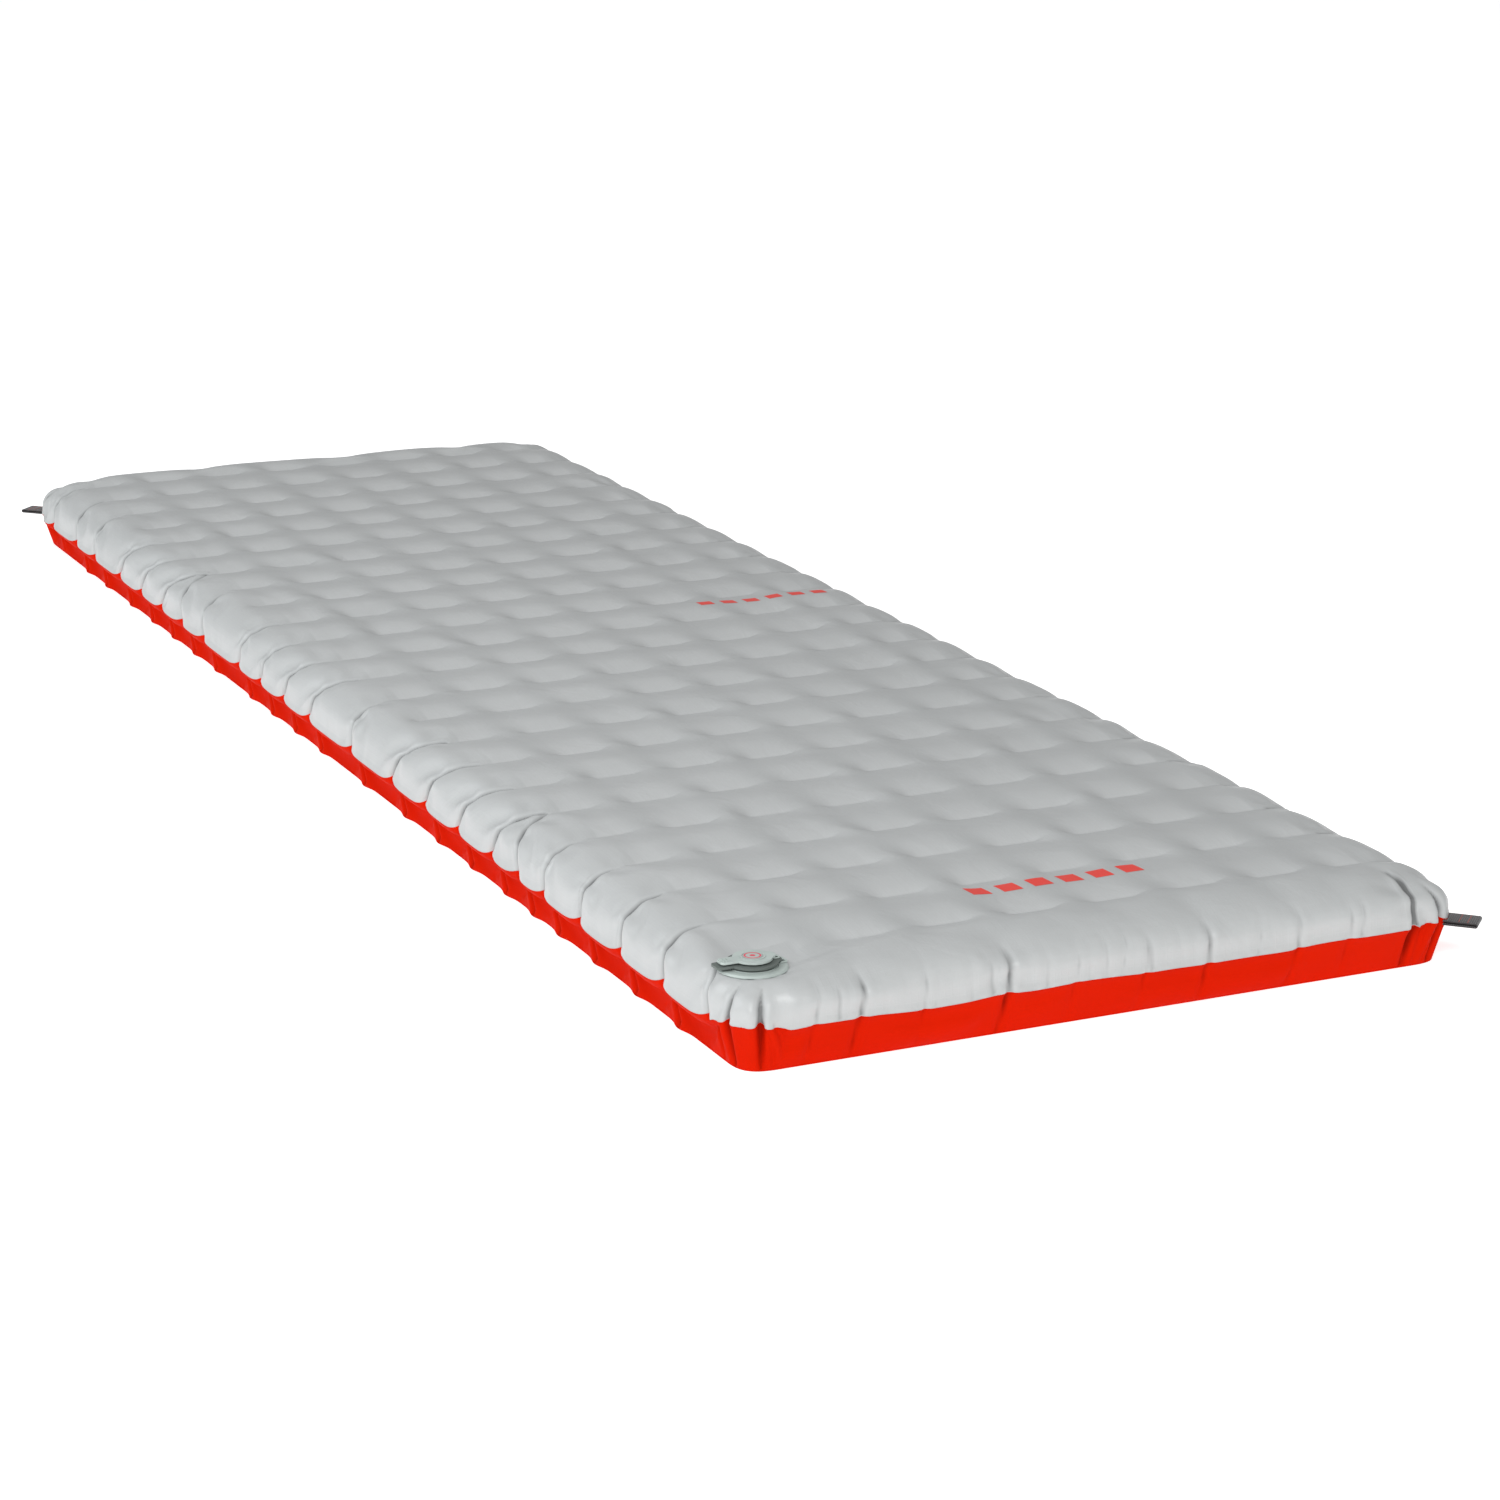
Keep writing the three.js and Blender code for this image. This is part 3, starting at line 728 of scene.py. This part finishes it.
TAPE_TURN = 0.785  # the tapes lie at 45 degrees, across their corners
CHARCOAL_WEBBING = webbing("charcoal webbing", (0.022, 0.02, 0.021), (0.075, 0.07, 0.072),
                           TAPE_TURN)
STITCH_THREAD = webbing("red thread", (0.45, 0.02, 0.01), (0.75, 0.06, 0.03))
print("film and webbing made")

# %% [markdown]
# ## The cloth pieces
# The blown-up grid becomes two pieces that share the seam: the grey top, and the red base with
# its wall and its underside. The lengths of the flat cut go with each point as its UV place.

# %% Twice as fine
def interleaved(values, middles):
    made = np.empty((2 * len(values) - 1, *values.shape[1:]))
    made[::2], made[1::2] = values, middles
    return made


def finer(values, axis):
    """Puts a point between each two along one axis, on a smooth curve through them all."""
    v = np.moveaxis(values, axis, 0)
    before, after = np.concatenate([v[:1], v[:-2]]), np.concatenate([v[2:], v[-1:]])
    return np.moveaxis(interleaved(v, (9 * (v[:-1] + v[1:]) - before - after) / 16), 0, axis)


def halved(values):
    """The same for a plain slope, with no rounding."""
    for axis in (0, 1):
        v = np.moveaxis(values.astype(float), axis, 0)
        values = np.moveaxis(interleaved(v, (v[:-1] + v[1:]) / 2), 0, axis)
    return values


fine_skin = finer(finer(skin, 0), 1)
fine_skin[..., 2] = np.maximum(fine_skin[..., 2], GROUND_GAP)
fine_start = halved(start)
fine_level = np.minimum(halved(level_x), halved(level_y))
fine_in = [halved(a) < RINGS for a in (level_x, level_y)]
fine_side = [np.sign(halved(a)) for a in (side_x, side_y)]
fine_up, fine_down = rises(fine_level)
print("fine grid", fine_level.shape, "=", fine_level.size, "points")

# %% [markdown]
# Between two welds of a row the cloth lifts in a saddle. Beyond each weld the colour is painted
# lighter, a painted highlight for the slope that faces the light, and between the welds it is
# painted darker, a painted shade; so the panel shows a pattern of soft squares.

# %% Saddles between the welds
SADDLE_RISE, SADDLE_HALF = 0.0024, 0.013
WELD_HALF = 0.010
PANEL_WELDS = 3.6  # the panel ends this many pitches from the middle
RAMP = 0.002
# Levels of the painted light: the plain level, and how much lighter a painted square is.
PLAIN, PAINTED_LIGHT_LEVEL = 0.35, 0.65
fine_x, fine_y = halved(at_x), halved(at_y)
past_row = np.mod(fine_y, ROW_PITCH) - ROW_PITCH / 2
off_weld = np.abs(np.mod(fine_x, WELD_PITCH) - WELD_PITCH / 2)
between = np.clip((off_weld - WELD_HALF) / (WELD_PITCH / 2 - WELD_HALF), 0, 1)
between *= between * (3 - 2 * between)
panel_only = np.clip(fine_up * 4 - 3, 0, 1) * (np.abs(fine_x) < WELD_PITCH * PANEL_WELDS)
panel_only *= ~near_valve(fine_x, fine_y)
fine_skin[..., 2] += (SADDLE_RISE * between * np.exp(-(past_row / SADDLE_HALF) ** 2) * panel_only
                      * (np.abs(fine_y) < LAST_ROW + 0.02))
# Painted highlight beyond each weld and painted shade between the welds, kept as the taut mark.
beyond = np.clip(past_row / RAMP, 0, 1) * np.clip(1 - past_row / (ROW_PITCH / 2), 0, 1) ** 0.8
painted_slope_light = PLAIN + (PAINTED_LIGHT_LEVEL * beyond * (1 - between) - PLAIN * between) * panel_only
print("saddles rise", SADDLE_RISE, "m")

# %% [markdown]
# The cells of the simulation are too wide for a sharp crease. So a narrow crease with a soft lip
# is carved along each pleat afterwards, with a few shallower ones beside it. Its depth is also
# kept as a mark, so that the finish can paint shade down in the fold.

# %% Creases
CREASE_DEPTH = 0.0026
CREASE_WIDTH = 0.0018
CREASE_FADE, WALL_FADE = 0.35, 0.55
LIP, LIP_AT, LIP_WIDTH = 0.4, 3.2, 2  # the raised lip, with its place and width in crease widths
END_CREASE_PITCH = 0.019
creases = np.zeros(fine_level.shape)
painted_crease_shade = np.zeros(fine_level.shape)
crease_random = np.random.default_rng(23)


def carve(mask, distance, strength, top=1.0):
    """Adds a narrow valley with raised lips, fading out towards its top end."""
    gap = np.abs(distance) / CREASE_WIDTH
    fade = np.where(fine_up > 0, np.clip((top - fine_up) / CREASE_FADE, 0, 1),
                    1 - WALL_FADE * fine_down)
    valley = mask * fade * strength * np.exp(-gap)
    lip = LIP * mask * fade * strength * np.exp(-((gap - LIP_AT) / LIP_WIDTH) ** 2)
    # The valley's depth is kept for the painted shade in the fold.
    np.maximum(painted_crease_shade, valley, out=painted_crease_shade)
    creases[...] += valley - lip


for axis, sign, foot, head, strength in pleats:
    side = on_side(axis, sign, fine_side, *fine_in) & (fine_level > 0)
    place = fine_start[..., 1 if axis == "y" else 0]
    power = min(strength, 2.0)
    lean = WALL_LEAN if axis == "y" else END_LEAN
    carve(side, pleat_distance(place, foot, head, fine_up, fine_down, lean), power,
          crease_random.uniform(0.85, 1.25) if axis == "y" else 0.5 + 0.25 * power)
    for _ in range(2):
        shift, swing = crease_random.uniform(-0.016, 0.016), crease_random.uniform(-0.008, 0.008)
        beside = pleat_distance(place, foot + shift, head + shift + swing, fine_up, fine_down)
        carve(side & (fine_up > 0), beside, power * crease_random.uniform(0.1, 0.3),
              crease_random.uniform(0.4, 0.9))
for sign in (-1, 1):
    side = on_side("x", sign, fine_side, *fine_in) & (fine_up > 0)
    for x in np.arange(-0.26, 0.26, END_CREASE_PITCH):
        foot = x + crease_random.uniform(-0.011, 0.011)
        head = foot + crease_random.uniform(-0.01, 0.01)
        carve(side, pleat_distance(fine_start[..., 0], foot, head, fine_up, fine_down),
              crease_random.uniform(0.08, 0.42), crease_random.uniform(0.3, 0.7))
for sign_x, sign_y, fold in CORNERS:
    in_corner = (fine_in[0] & fine_in[1] & (fine_side[0] == sign_x) & (fine_side[1] == sign_y)
                 & (fine_level > 0))
    carve(in_corner, corner_distance(fine_start, sign_x, sign_y, fold), 1.2, 0.62)
run_i, run_j = np.gradient(fine_skin, axis=0), np.gradient(fine_skin, axis=1)
normals = np.cross(run_i, run_j)
normals /= np.maximum(np.linalg.norm(normals, axis=-1, keepdims=True), 1e-12)
fine_skin -= normals * (creases * CREASE_DEPTH)[..., None]
print("creased points", int((painted_crease_shade > 0.1).sum()), "deepest", round(creases.max(), 2))

# %% From grid to mesh
def grid_faces(index):
    """The four corners of each cell of a grid."""
    return np.stack([index[:-1, :-1], index[1:, :-1], index[1:, 1:], index[:-1, 1:]], -1)


fine_index = np.arange(fine_level.size).reshape(fine_level.shape)
fine_quads = grid_faces(fine_index)
quad_level = grid_faces(fine_level).min(-1)
cut_reach = flat_reach + WALL_CUT * drop
cut_places = np.stack(laid_out(cut_reach, cut_reach, (SPARE_ACROSS, SPARE_ALONG)), -1)
fine_cut = halved(cut_places).reshape(-1, 2)


def cloth_piece(name, points, face_sets, cut, finish, **marks):
    """A smooth mesh from the used points, with its cut as a UV map and marks on its points."""
    used = np.unique(np.concatenate([faces.ravel() for faces in face_sets]))
    packed = np.empty(len(points), int)
    packed[used] = np.arange(len(used))
    mesh = bpy.data.meshes.new(name)
    mesh.from_pydata(points[used].tolist(), [],
                     [face for faces in face_sets for face in packed[faces].tolist()])
    layer = mesh.uv_layers.new(name="cut")
    corners = np.empty(len(mesh.loops), int)
    mesh.loops.foreach_get("vertex_index", corners)
    layer.data.foreach_set("uv", cut[used][corners].ravel())
    for mark, values in marks.items():
        attribute = mesh.attributes.new(mark, "FLOAT", "POINT")
        attribute.data.foreach_set("value", values[used].astype("f4"))
    mesh.shade_smooth()
    mesh.materials.append(finish)
    return in_scene(name, mesh)


def apply_modifiers(piece):
    """Turns a piece with modifiers into a plain mesh."""
    bpy.context.view_layer.update()
    shown = piece.evaluated_get(bpy.context.evaluated_depsgraph_get())
    mesh = bpy.data.meshes.new_from_object(shown)
    piece.modifiers.clear()
    piece.data = mesh
    return piece


# %% [markdown]
# The valve needs a round hole in the top. The faces inside it are left out, and the points on the
# jagged rim are moved onto a circle, which the collar then covers.

# %% Top cloth
HOLE_RADIUS = 0.0225
CELL_HALF = 0.0025
points = fine_skin.reshape(-1, 3).copy()
top_quads = fine_quads[quad_level >= WALL_RINGS]
middles = points[top_quads].mean(1)
from_hole = np.hypot(middles[:, 0] - VALVE.x, middles[:, 1] - VALVE.y)
in_hole = (from_hole < HOLE_RADIUS - CELL_HALF) & (middles[:, 2] > SEAM_HEIGHT + 0.02)
rim = np.intersect1d(top_quads[in_hole], top_quads[~in_hole])
out = points[rim, :2] - (VALVE.x, VALVE.y)
points[rim, :2] = (VALVE.x, VALVE.y) + out * (HOLE_RADIUS / np.linalg.norm(out, axis=1))[:, None]
# The taut mark carries the painted light and shade of the panel's squares.
top_skin = cloth_piece("top_skin", points, [top_quads[~in_hole]], fine_cut, TOP_CLOTH,
                       # The crease mark carries the painted shade of the folds.
                       crease=painted_crease_shade.ravel(), taut=painted_slope_light.ravel())
print("top_skin", len(top_skin.data.polygons), "faces, hole rim", len(rim), "points")

# %% [markdown]
# The base's underside lies on the ground. Its own welds leave shallow grooves that don't touch.

# %% Base cloth
GROOVE, GROOVE_HALF = 0.0032, 0.010
GROOVE_ALONG, GROOVE_END = 0.018, 0.008  # half a weld's length, and how it runs out
under_reaches = [(span - GROUND_INSET) * (RINGS - np.arange(RINGS + 1)) / RINGS for span in reach]
under_x, under_y = chamfered(*laid_out(*under_reaches), 1)
row_gap = np.abs(np.mod(under_y, ROW_PITCH) - ROW_PITCH / 2)
weld_gap = np.maximum(np.abs(np.mod(under_x, WELD_PITCH) - WELD_PITCH / 2) - GROOVE_ALONG, 0)
groove = (np.exp(-(row_gap / GROOVE_HALF) ** 2)
          * (0.3 + 0.7 * np.exp(-(weld_gap / GROOVE_END) ** 2)))
groove *= np.clip(level / 8, 0, 1) * (np.abs(under_y) < LAST_ROW + 0.03)
under = np.stack([under_x, under_y, GROUND_GAP + GROOVE * groove], -1)


def ring_points(shape, ring):
    """The grid points of one ring in order, once round the pad."""
    last_i, last_j = shape[0] - 1 - ring, shape[1] - 1 - ring
    near = [(i, ring) for i in range(ring, last_i)]
    right = [(last_i, j) for j in range(ring, last_j)]
    far = [(i, last_j) for i in range(last_i, ring, -1)]
    left = [(ring, j) for j in range(last_j, ring, -1)]
    return tuple(np.array(near + right + far + left).T)


under_index = np.arange(level.size).reshape(level.shape) + fine_level.size
inner = under_index[ring_points(level.shape, 0)]
outer = fine_index[ring_points(fine_level.shape, 0)]
edge_at = fine_skin.reshape(-1, 3)[outer[::2]]
middle_way = under.reshape(-1, 3)[inner - fine_level.size]
under.reshape(-1, 3)[inner - fine_level.size] = edge_at * 0.98 + middle_way * 0.02 * (1, 1, 0) + (
    0, 0, edge_at[0, 2] * 0.02)
here, after, outer_next = inner, np.roll(inner, -1), np.roll(outer[::2], -1)
joining = np.concatenate([np.stack([outer[::2], here, outer[1::2]], -1),
                          np.stack([outer[1::2], after, outer_next], -1),
                          np.stack([outer[1::2], here, after], -1)])
both = np.concatenate([fine_skin.reshape(-1, 3), under.reshape(-1, 3)])
both_cut = np.concatenate([fine_cut, cut_places.reshape(-1, 2)])
# The wall keeps its crease marks for painted shade in its folds; the underside has none.
both_marks = np.concatenate([painted_crease_shade.ravel(), np.zeros(level.size)])
wall_quads = fine_quads[quad_level < WALL_RINGS]
under_quads = grid_faces(under_index)[..., ::-1].reshape(-1, 4)
bottom_skin = cloth_piece("bottom_skin", both, [wall_quads, under_quads, joining], both_cut,
                          BASE_CLOTH, crease=both_marks)
print("bottom_skin", len(bottom_skin.data.polygons), "faces, groove", GROOVE, "m")
for piece, node, slot, fill in ((top_skin, "top_shell", "top_fabric", 0.9),
                                (bottom_skin, "bottom_shell", "base_fabric", 0.9)):
    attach(piece, "pad")
    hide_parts(node)

# %% [markdown]
# ## Things that follow the cloth
# The seam's flange, the printed marks and the stitches all repeat or follow a path. Geometry
# Nodes suit that: a small tree with named inputs does the placing, and the result is turned into
# a plain mesh.

# %% Running a node tree
def node_group(name, inputs):
    """An empty geometry tree with named inputs, each (name, socket type, value)."""
    tree = bpy.data.node_groups.new(name, "GeometryNodeTree")
    tree.interface.new_socket("Geometry", in_out="OUTPUT", socket_type="NodeSocketGeometry")
    tree.interface.new_socket("Geometry", in_out="INPUT", socket_type="NodeSocketGeometry")
    for label, kind, value in inputs:
        socket = tree.interface.new_socket(label, in_out="INPUT", socket_type="NodeSocket" + kind)
        if value is not None:
            socket.default_value = value
    return tree, tree.nodes.new("NodeGroupInput").outputs


def finish_group(tree, geometry, finish):
    """Ends a tree: real geometry, with its finish."""
    real = add_node(tree, "GeometryNodeRealizeInstances", {"Geometry": geometry})
    dressed = add_node(tree, "GeometryNodeSetMaterial",
                       {"Geometry": real, "Material": finish})
    tree.links.new(dressed.outputs[0], tree.nodes.new("NodeGroupOutput").inputs[0])


def grown(name, tree, points, edges=(), **values):
    """Runs a tree on some points and edges, and keeps the result as a plain mesh."""
    seed = bpy.data.meshes.new(name)
    seed.from_pydata([tuple(p) for p in points], edges, [])
    piece = in_scene(name, seed)
    modifier = piece.modifiers.new(tree.name, "NODES")
    modifier.node_group = tree
    for item in tree.interface.items_tree:
        if item.in_out == "INPUT" and item.name in values:
            modifier[item.identifier] = values[item.name]
    apply_modifiers(piece)
    piece.data.name = name
    print(name, len(piece.data.polygons), "faces")
    return piece


# %% [markdown]
# ### Seam flange
# The two cloths are welded flat against each other outside the seam. The leftover lip is a
# narrow double strip: grey above, red below. It is a flat profile swept along the seam line,
# and the profile's own Y points down there.

# %% Seam flange
def strip_tree(name):
    """Sweeps a flat profile along a closed line, standing off to its outer side."""
    tree, given = node_group(name, [("Width", "Float", 0.004), ("Thickness", "Float", 0.0006),
                                    ("Drop", "Float", 0.0), ("Finish", "Material", None)])
    line = add_node(tree, "GeometryNodeMeshToCurve", {"Mesh": given["Geometry"]})
    level_line = add_node(tree, "GeometryNodeSetCurveNormal", {"Curve": line},
                          mode="Z_UP")
    profile = add_node(tree, "GeometryNodeCurvePrimitiveQuadrilateral",
                       {"Width": given["Width"], "Height": given["Thickness"]})
    half = add_node(tree, "ShaderNodeMath", {0: given["Width"], 1: -0.5}, operation="MULTIPLY")
    offset = add_node(tree, "ShaderNodeCombineXYZ", {"X": half, "Y": given["Drop"]})
    moved = add_node(tree, "GeometryNodeTransform",
                     {"Geometry": profile, "Translation": offset})
    swept = add_node(tree, "GeometryNodeCurveToMesh", {
        "Curve": level_line, "Profile Curve": moved})
    finish_group(tree, swept.outputs[0], given["Finish"])
    return tree


seam = fine_skin[ring_points(fine_level.shape, 2 * WALL_RINGS)]
ring_edges = [(k, (k + 1) % len(seam)) for k in range(len(seam))]
seam_tree = strip_tree("seam strip")
STRIP_WIDTH, STRIP_THICKNESS, STRIP_OFFSET = 0.0024, 0.0006, 0.00032
for name, sink, finish, slot in (("top_flange", -STRIP_OFFSET, TOP_CLOTH, "top_fabric"),
                                 ("bottom_flange", STRIP_OFFSET, BASE_CLOTH, "base_fabric")):
    flange = grown(name, seam_tree, seam, ring_edges, Width=STRIP_WIDTH,
                   Thickness=STRIP_THICKNESS, Drop=sink, Finish=finish)
    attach(flange, "pad")

# %% [markdown]
# ### Marks on the cloth
# A mark starts as a small flat grid over its place, and a ray finds the cloth under every point.

# %% Marks that lie on the cloth
def mark_tree(name, columns, rows):
    """Lays a small grid at each point, down onto the cloth."""
    tree, given = node_group(name, [
        ("Cloth", "Object", None), ("Length", "Float", 0.036), ("Width", "Float", 0.003),
        ("Proud", "Float", 0.0002), ("Finish", "Material", None)])
    grid = add_node(tree, "GeometryNodeMeshGrid", {
        "Size X": given["Length"], "Size Y": given["Width"],
        "Vertices X": columns, "Vertices Y": rows})
    placed = add_node(tree, "GeometryNodeInstanceOnPoints",
                      {"Points": given["Geometry"], "Instance": grid})
    real = add_node(tree, "GeometryNodeRealizeInstances", {"Geometry": placed})
    cloth = add_node(tree, "GeometryNodeObjectInfo", {"Object": given["Cloth"]})
    position = add_node(tree, "GeometryNodeInputPosition")
    hit = add_node(tree, "GeometryNodeRaycast", {
        "Target Geometry": cloth.outputs["Geometry"], "Source Position": position,
        "Ray Direction": (0, 0, -1), "Ray Length": 0.2})
    above = add_node(tree, "ShaderNodeCombineXYZ", {"Z": given["Proud"]})
    lie = add_node(tree, "ShaderNodeVectorMath",
                   {0: hit.outputs["Hit Position"], 1: above}, operation="ADD")
    laid = add_node(tree, "GeometryNodeSetPosition", {
        "Geometry": real, "Selection": hit.outputs["Is Hit"],
        "Position": lie})
    finish_group(tree, laid.outputs[0], given["Finish"])
    return tree


# %% [markdown]
# ### Printed marks
# The top carries two short printed rows. They are plain bars here, with no lettering.

# %% Printed marks
ABOVE = top_high.z + 0.05
BARS = 6
print_tree = mark_tree("printed bars", 9, 7)
# Each row's name, the middle of its first bar, its pitch, and a bar's length and width.
PRINTS = (("near_print", (-0.054, -0.838), 0.027, 0.0165, 0.019),
          ("far_print", (0.135, 0.083), 0.025, 0.0150, 0.014))
for name, (first_x, y), pitch, long, wide in PRINTS:
    spots = [(first_x + pitch * k, y, ABOVE) for k in range(BARS)]
    ink = grown(name, print_tree, spots, Cloth=top_skin, Length=long, Width=wide,
                Proud=0.0001, Finish=PRINT_INK)
    ink.data.shade_smooth()
    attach(ink, "pad")

# %% [markdown]
# ## Valve
# The frame holds each moulded part's exact shape, but with sharp edges. A real moulding has
# rounded edges that catch the light, so a copy of each part gets a small bevel. The frame's own
# loose triangles are merged first, on the copy.

# %% Moulded parts with soft edges
def softened(node, body, slot, finish, edge, name=None):
    """A copy of a frame part with bevelled edges, standing in for it."""
    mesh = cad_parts[node].data.copy()
    mesh.materials.clear()
    shape = bmesh.new()
    shape.from_mesh(mesh)
    bmesh.ops.remove_doubles(shape, verts=shape.verts, dist=2e-6)
    bmesh.ops.dissolve_limit(shape, angle_limit=math.radians(1), verts=shape.verts,
                             edges=shape.edges)
    sharp = [e for e in shape.edges
             if len(e.link_faces) == 2 and e.calc_face_angle(0) > math.radians(35)]
    bmesh.ops.bevel(shape, geom=sharp, offset=edge, segments=3, profile=0.6, affect="EDGES",
                    clamp_overlap=True)
    bmesh.ops.triangulate(shape, faces=[f for f in shape.faces if len(f.verts) > 4])
    for face in shape.faces:
        face.smooth = True
    shape.to_mesh(mesh)
    shape.free()
    mesh.set_sharp_from_angle(angle=math.radians(40))
    mesh.materials.append(finish)
    piece = in_scene(name or node + "_moulding", mesh)
    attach(piece, body)
    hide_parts(node)
    print(piece.name, len(mesh.polygons), "faces")
    return piece


MOULDINGS = (("valve_base", "pad", "valve_shell", VALVE_SHELL, 0.0002),
             ("valve_collar", "pad", "valve_shell", VALVE_SHELL, 0.0005),
             ("lid_strap", "pad", "valve_shell", VALVE_SHELL, 0.0002),
             # the wide lid takes the painted shade of the cap's shadow
             ("deflate_lid", "lid", "valve_shell", VALVE_PAINTED_SHADE, 0.00045),
             ("check_seat", "lid", "valve_shell", VALVE_SHELL, 0.0002),
             ("lid_seal", "lid", "valve_seal", VALVE_SEAL, 0.0002),
             ("check_flap", "flap", "valve_seal", VALVE_SEAL, 0.0002),
             ("cap_strap", "lid", "valve_shell", VALVE_SHELL, 0.0002),
             ("inflate_cap", "cap", "valve_shell", VALVE_SHELL, 0.00045),
             ("cap_mark", "cap", "print", MARK_INK, 0.00012))
for moulding in MOULDINGS:
    softened(*moulding)

# %% [markdown]
# A living hinge is a thin web of the same rubber, which must bend as the lid opens. Here it is
# a fixed strip, bent across the joint.

# %% Hinge webs
def hinge_web(name, path, width, thickness):
    """A bent strip in the XZ plane along its path, across the joint."""
    turns = np.array(path, float)
    steps = np.linspace(0, len(turns) - 1, 13)
    line = np.stack([np.interp(steps, range(len(turns)), turns[:, k]) for k in (0, 1)], 1)
    tangent = np.gradient(line, axis=0)
    normal = np.stack([-tangent[:, 1], tangent[:, 0]], 1)
    normal *= thickness / 2 / np.linalg.norm(normal, axis=1)[:, None]
    shape = bmesh.new()
    loops = []
    for place, side in zip(line, normal):
        corners = [(place + side, -1), (place + side, 1), (place - side, 1), (place - side, -1)]
        loops.append([shape.verts.new((VALVE.x + p[0], VALVE.y + y * width / 2, p[1]))
                      for p, y in corners])
    for one, two in zip(loops, loops[1:]):
        for k in range(4):
            shape.faces.new((one[k], one[(k + 1) % 4], two[(k + 1) % 4], two[k]))
    shape.faces.new(loops[0][::-1])
    shape.faces.new(loops[-1])
    bmesh.ops.recalc_face_normals(shape, faces=shape.faces)
    mesh = bpy.data.meshes.new(name)
    shape.to_mesh(mesh)
    shape.free()
    mesh.shade_smooth()
    mesh.set_sharp_from_angle(angle=math.radians(50))
    mesh.materials.append(VALVE_SHELL)
    web = in_scene(name, mesh)
    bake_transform(web)
    print(name, len(mesh.polygons), "faces")


hinge_web("lid_web",
          ((0.0252, 0.0677), (0.0243, 0.0682), (0.0232, 0.0691), (0.0220, 0.0695),
           (0.0205, 0.0696)), 0.0096, 0.0006)
hinge_web("cap_web",
          ((0.0198, 0.0709), (0.0192, 0.0715), (0.0184, 0.0723), (0.0172, 0.0726),
           (0.0160, 0.0726)), 0.0076, 0.0006)

# %% [markdown]
# ## Corner tabs
# A loop of charcoal tape is caught in the flange at two opposite corners, for tying the pad down
# or hanging it up. The tape is stitched across, near the flange, in red thread.

# %% Corner tabs
TAB_BASE = {"label_tab": (1, -1), "corner_tab": (-1, 1)}
for node, (sign_x, sign_y) in TAB_BASE.items():
    softened(node, "pad", "webbing", CHARCOAL_WEBBING, 0.00025, name=node + "_tape")


def stitch_tree(name):
    """Puts a rounded stitch at each point, turned to lie along the row."""
    tree, given = node_group(name, [
        ("Length", "Float", 0.002), ("Thickness", "Float", 0.0005), ("Turn", "Float", 0.0),
        ("Finish", "Material", None)])
    thread = add_node(tree, "GeometryNodeMeshUVSphere",
                      {"Segments": 8, "Rings": 6, "Radius": 0.5})
    size = add_node(tree, "ShaderNodeCombineXYZ", {
        "X": given["Length"], "Y": given["Thickness"], "Z": given["Thickness"]})
    turn = add_node(tree, "ShaderNodeCombineXYZ", {"Z": given["Turn"]})
    placed = add_node(tree, "GeometryNodeInstanceOnPoints", {
        "Points": given["Geometry"], "Instance": thread,
        "Rotation": turn, "Scale": size})
    finish_group(tree, placed.outputs[0], given["Finish"])
    return tree


stitch_group = stitch_tree("stitches")
for node, (sign_x, sign_y) in TAB_BASE.items():
    low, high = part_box(node)
    middle = (low + high) / 2
    along = Vector((sign_x, sign_y, 0)).normalized()
    across = Vector((-along.y, along.x, 0))
    spots = []
    for row in (-0.0035, 0.0035):
        for k in range(-4, 5):
            for z in (low.z - 0.00008, high.z + 0.00008):
                place = middle + along * (row + 0.002) + across * (k * 0.0023)
                spots.append((place.x, place.y, z))
    seam_stitch = grown(node + "_stitches", stitch_group, spots, Length=0.0019,
                        Thickness=0.00055, Turn=math.atan2(across.y, across.x),
                        Finish=STITCH_THREAD)
    seam_stitch.data.shade_smooth()
    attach(seam_stitch, "pad")

# %% [markdown]
# ## Inside
# The trusses and the two reflecting films are hidden, but they are real pieces, so they get
# their own finishes.

# %% Finishes inside
for name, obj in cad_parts.items():
    if name.startswith("truss_") or name.endswith("_film"):
        finish = METAL_FILM if name.endswith("_film") else TRUSS_FILM
        for slot in obj.material_slots:
            slot.material = finish
        if not obj.material_slots:
            obj.data.materials.append(finish)
print("inside pieces dressed")

# %% [markdown]
# ## Stage and light
# The pad lies on white: a pale floor that runs out of sight, a bright even room, a wide soft
# light low on the left and front, and a smaller one that puts a sheen on the lobes of the side.

# %% Stage and light
def make_floor():
    material, tree, shader = new_finish("pale floor", Base_Color=(0.94, 0.94, 0.94, 1),
                                        Roughness=0.9, Specular_IOR_Level=0.1,
                                        Emission_Color=(1, 1, 1, 1), Emission_Strength=0.6)
    mesh = bpy.data.meshes.new("floor")
    far = 60.0
    mesh.from_pydata([(-far, -far, 0), (far, -far, 0), (far, far, 0), (-far, far, 0)], [],
                     [(0, 1, 2, 3)])
    mesh.materials.append(material)
    floor = in_scene("floor", mesh)


def area_light(name, place, size, watts, aim=(0, 0, 0.03), color=(1, 1, 1)):
    light = bpy.data.lights.new(name, "AREA")
    light.shape = "RECTANGLE"
    light.size, light.size_y = size
    light.energy = watts
    light.color = color
    lamp = in_scene(name, light)
    lamp.location = place
    lamp.rotation_euler = (Vector(aim) - Vector(place)).to_track_quat("-Z", "Y").to_euler()


make_floor()
world = bpy.data.worlds.new("bright room")
world.use_nodes = True
world.node_tree.nodes["Background"].inputs["Color"].default_value = (1, 1, 1, 1)
world.node_tree.nodes["Background"].inputs["Strength"].default_value = 0.42
scene.world = world
scene.view_settings.view_transform = "Standard"
area_light("front light", (-1.3, -3.7, 2.7), (2.4, 1.2), 95)
area_light("side light", (-2.7, 0.2, 1.9), (3.0, 1.4), 44, color=(0.94, 0.975, 1.0))
area_light("far light", (0.6, 4.2, 2.4), (3.2, 1.0), 8)
print("stage set")
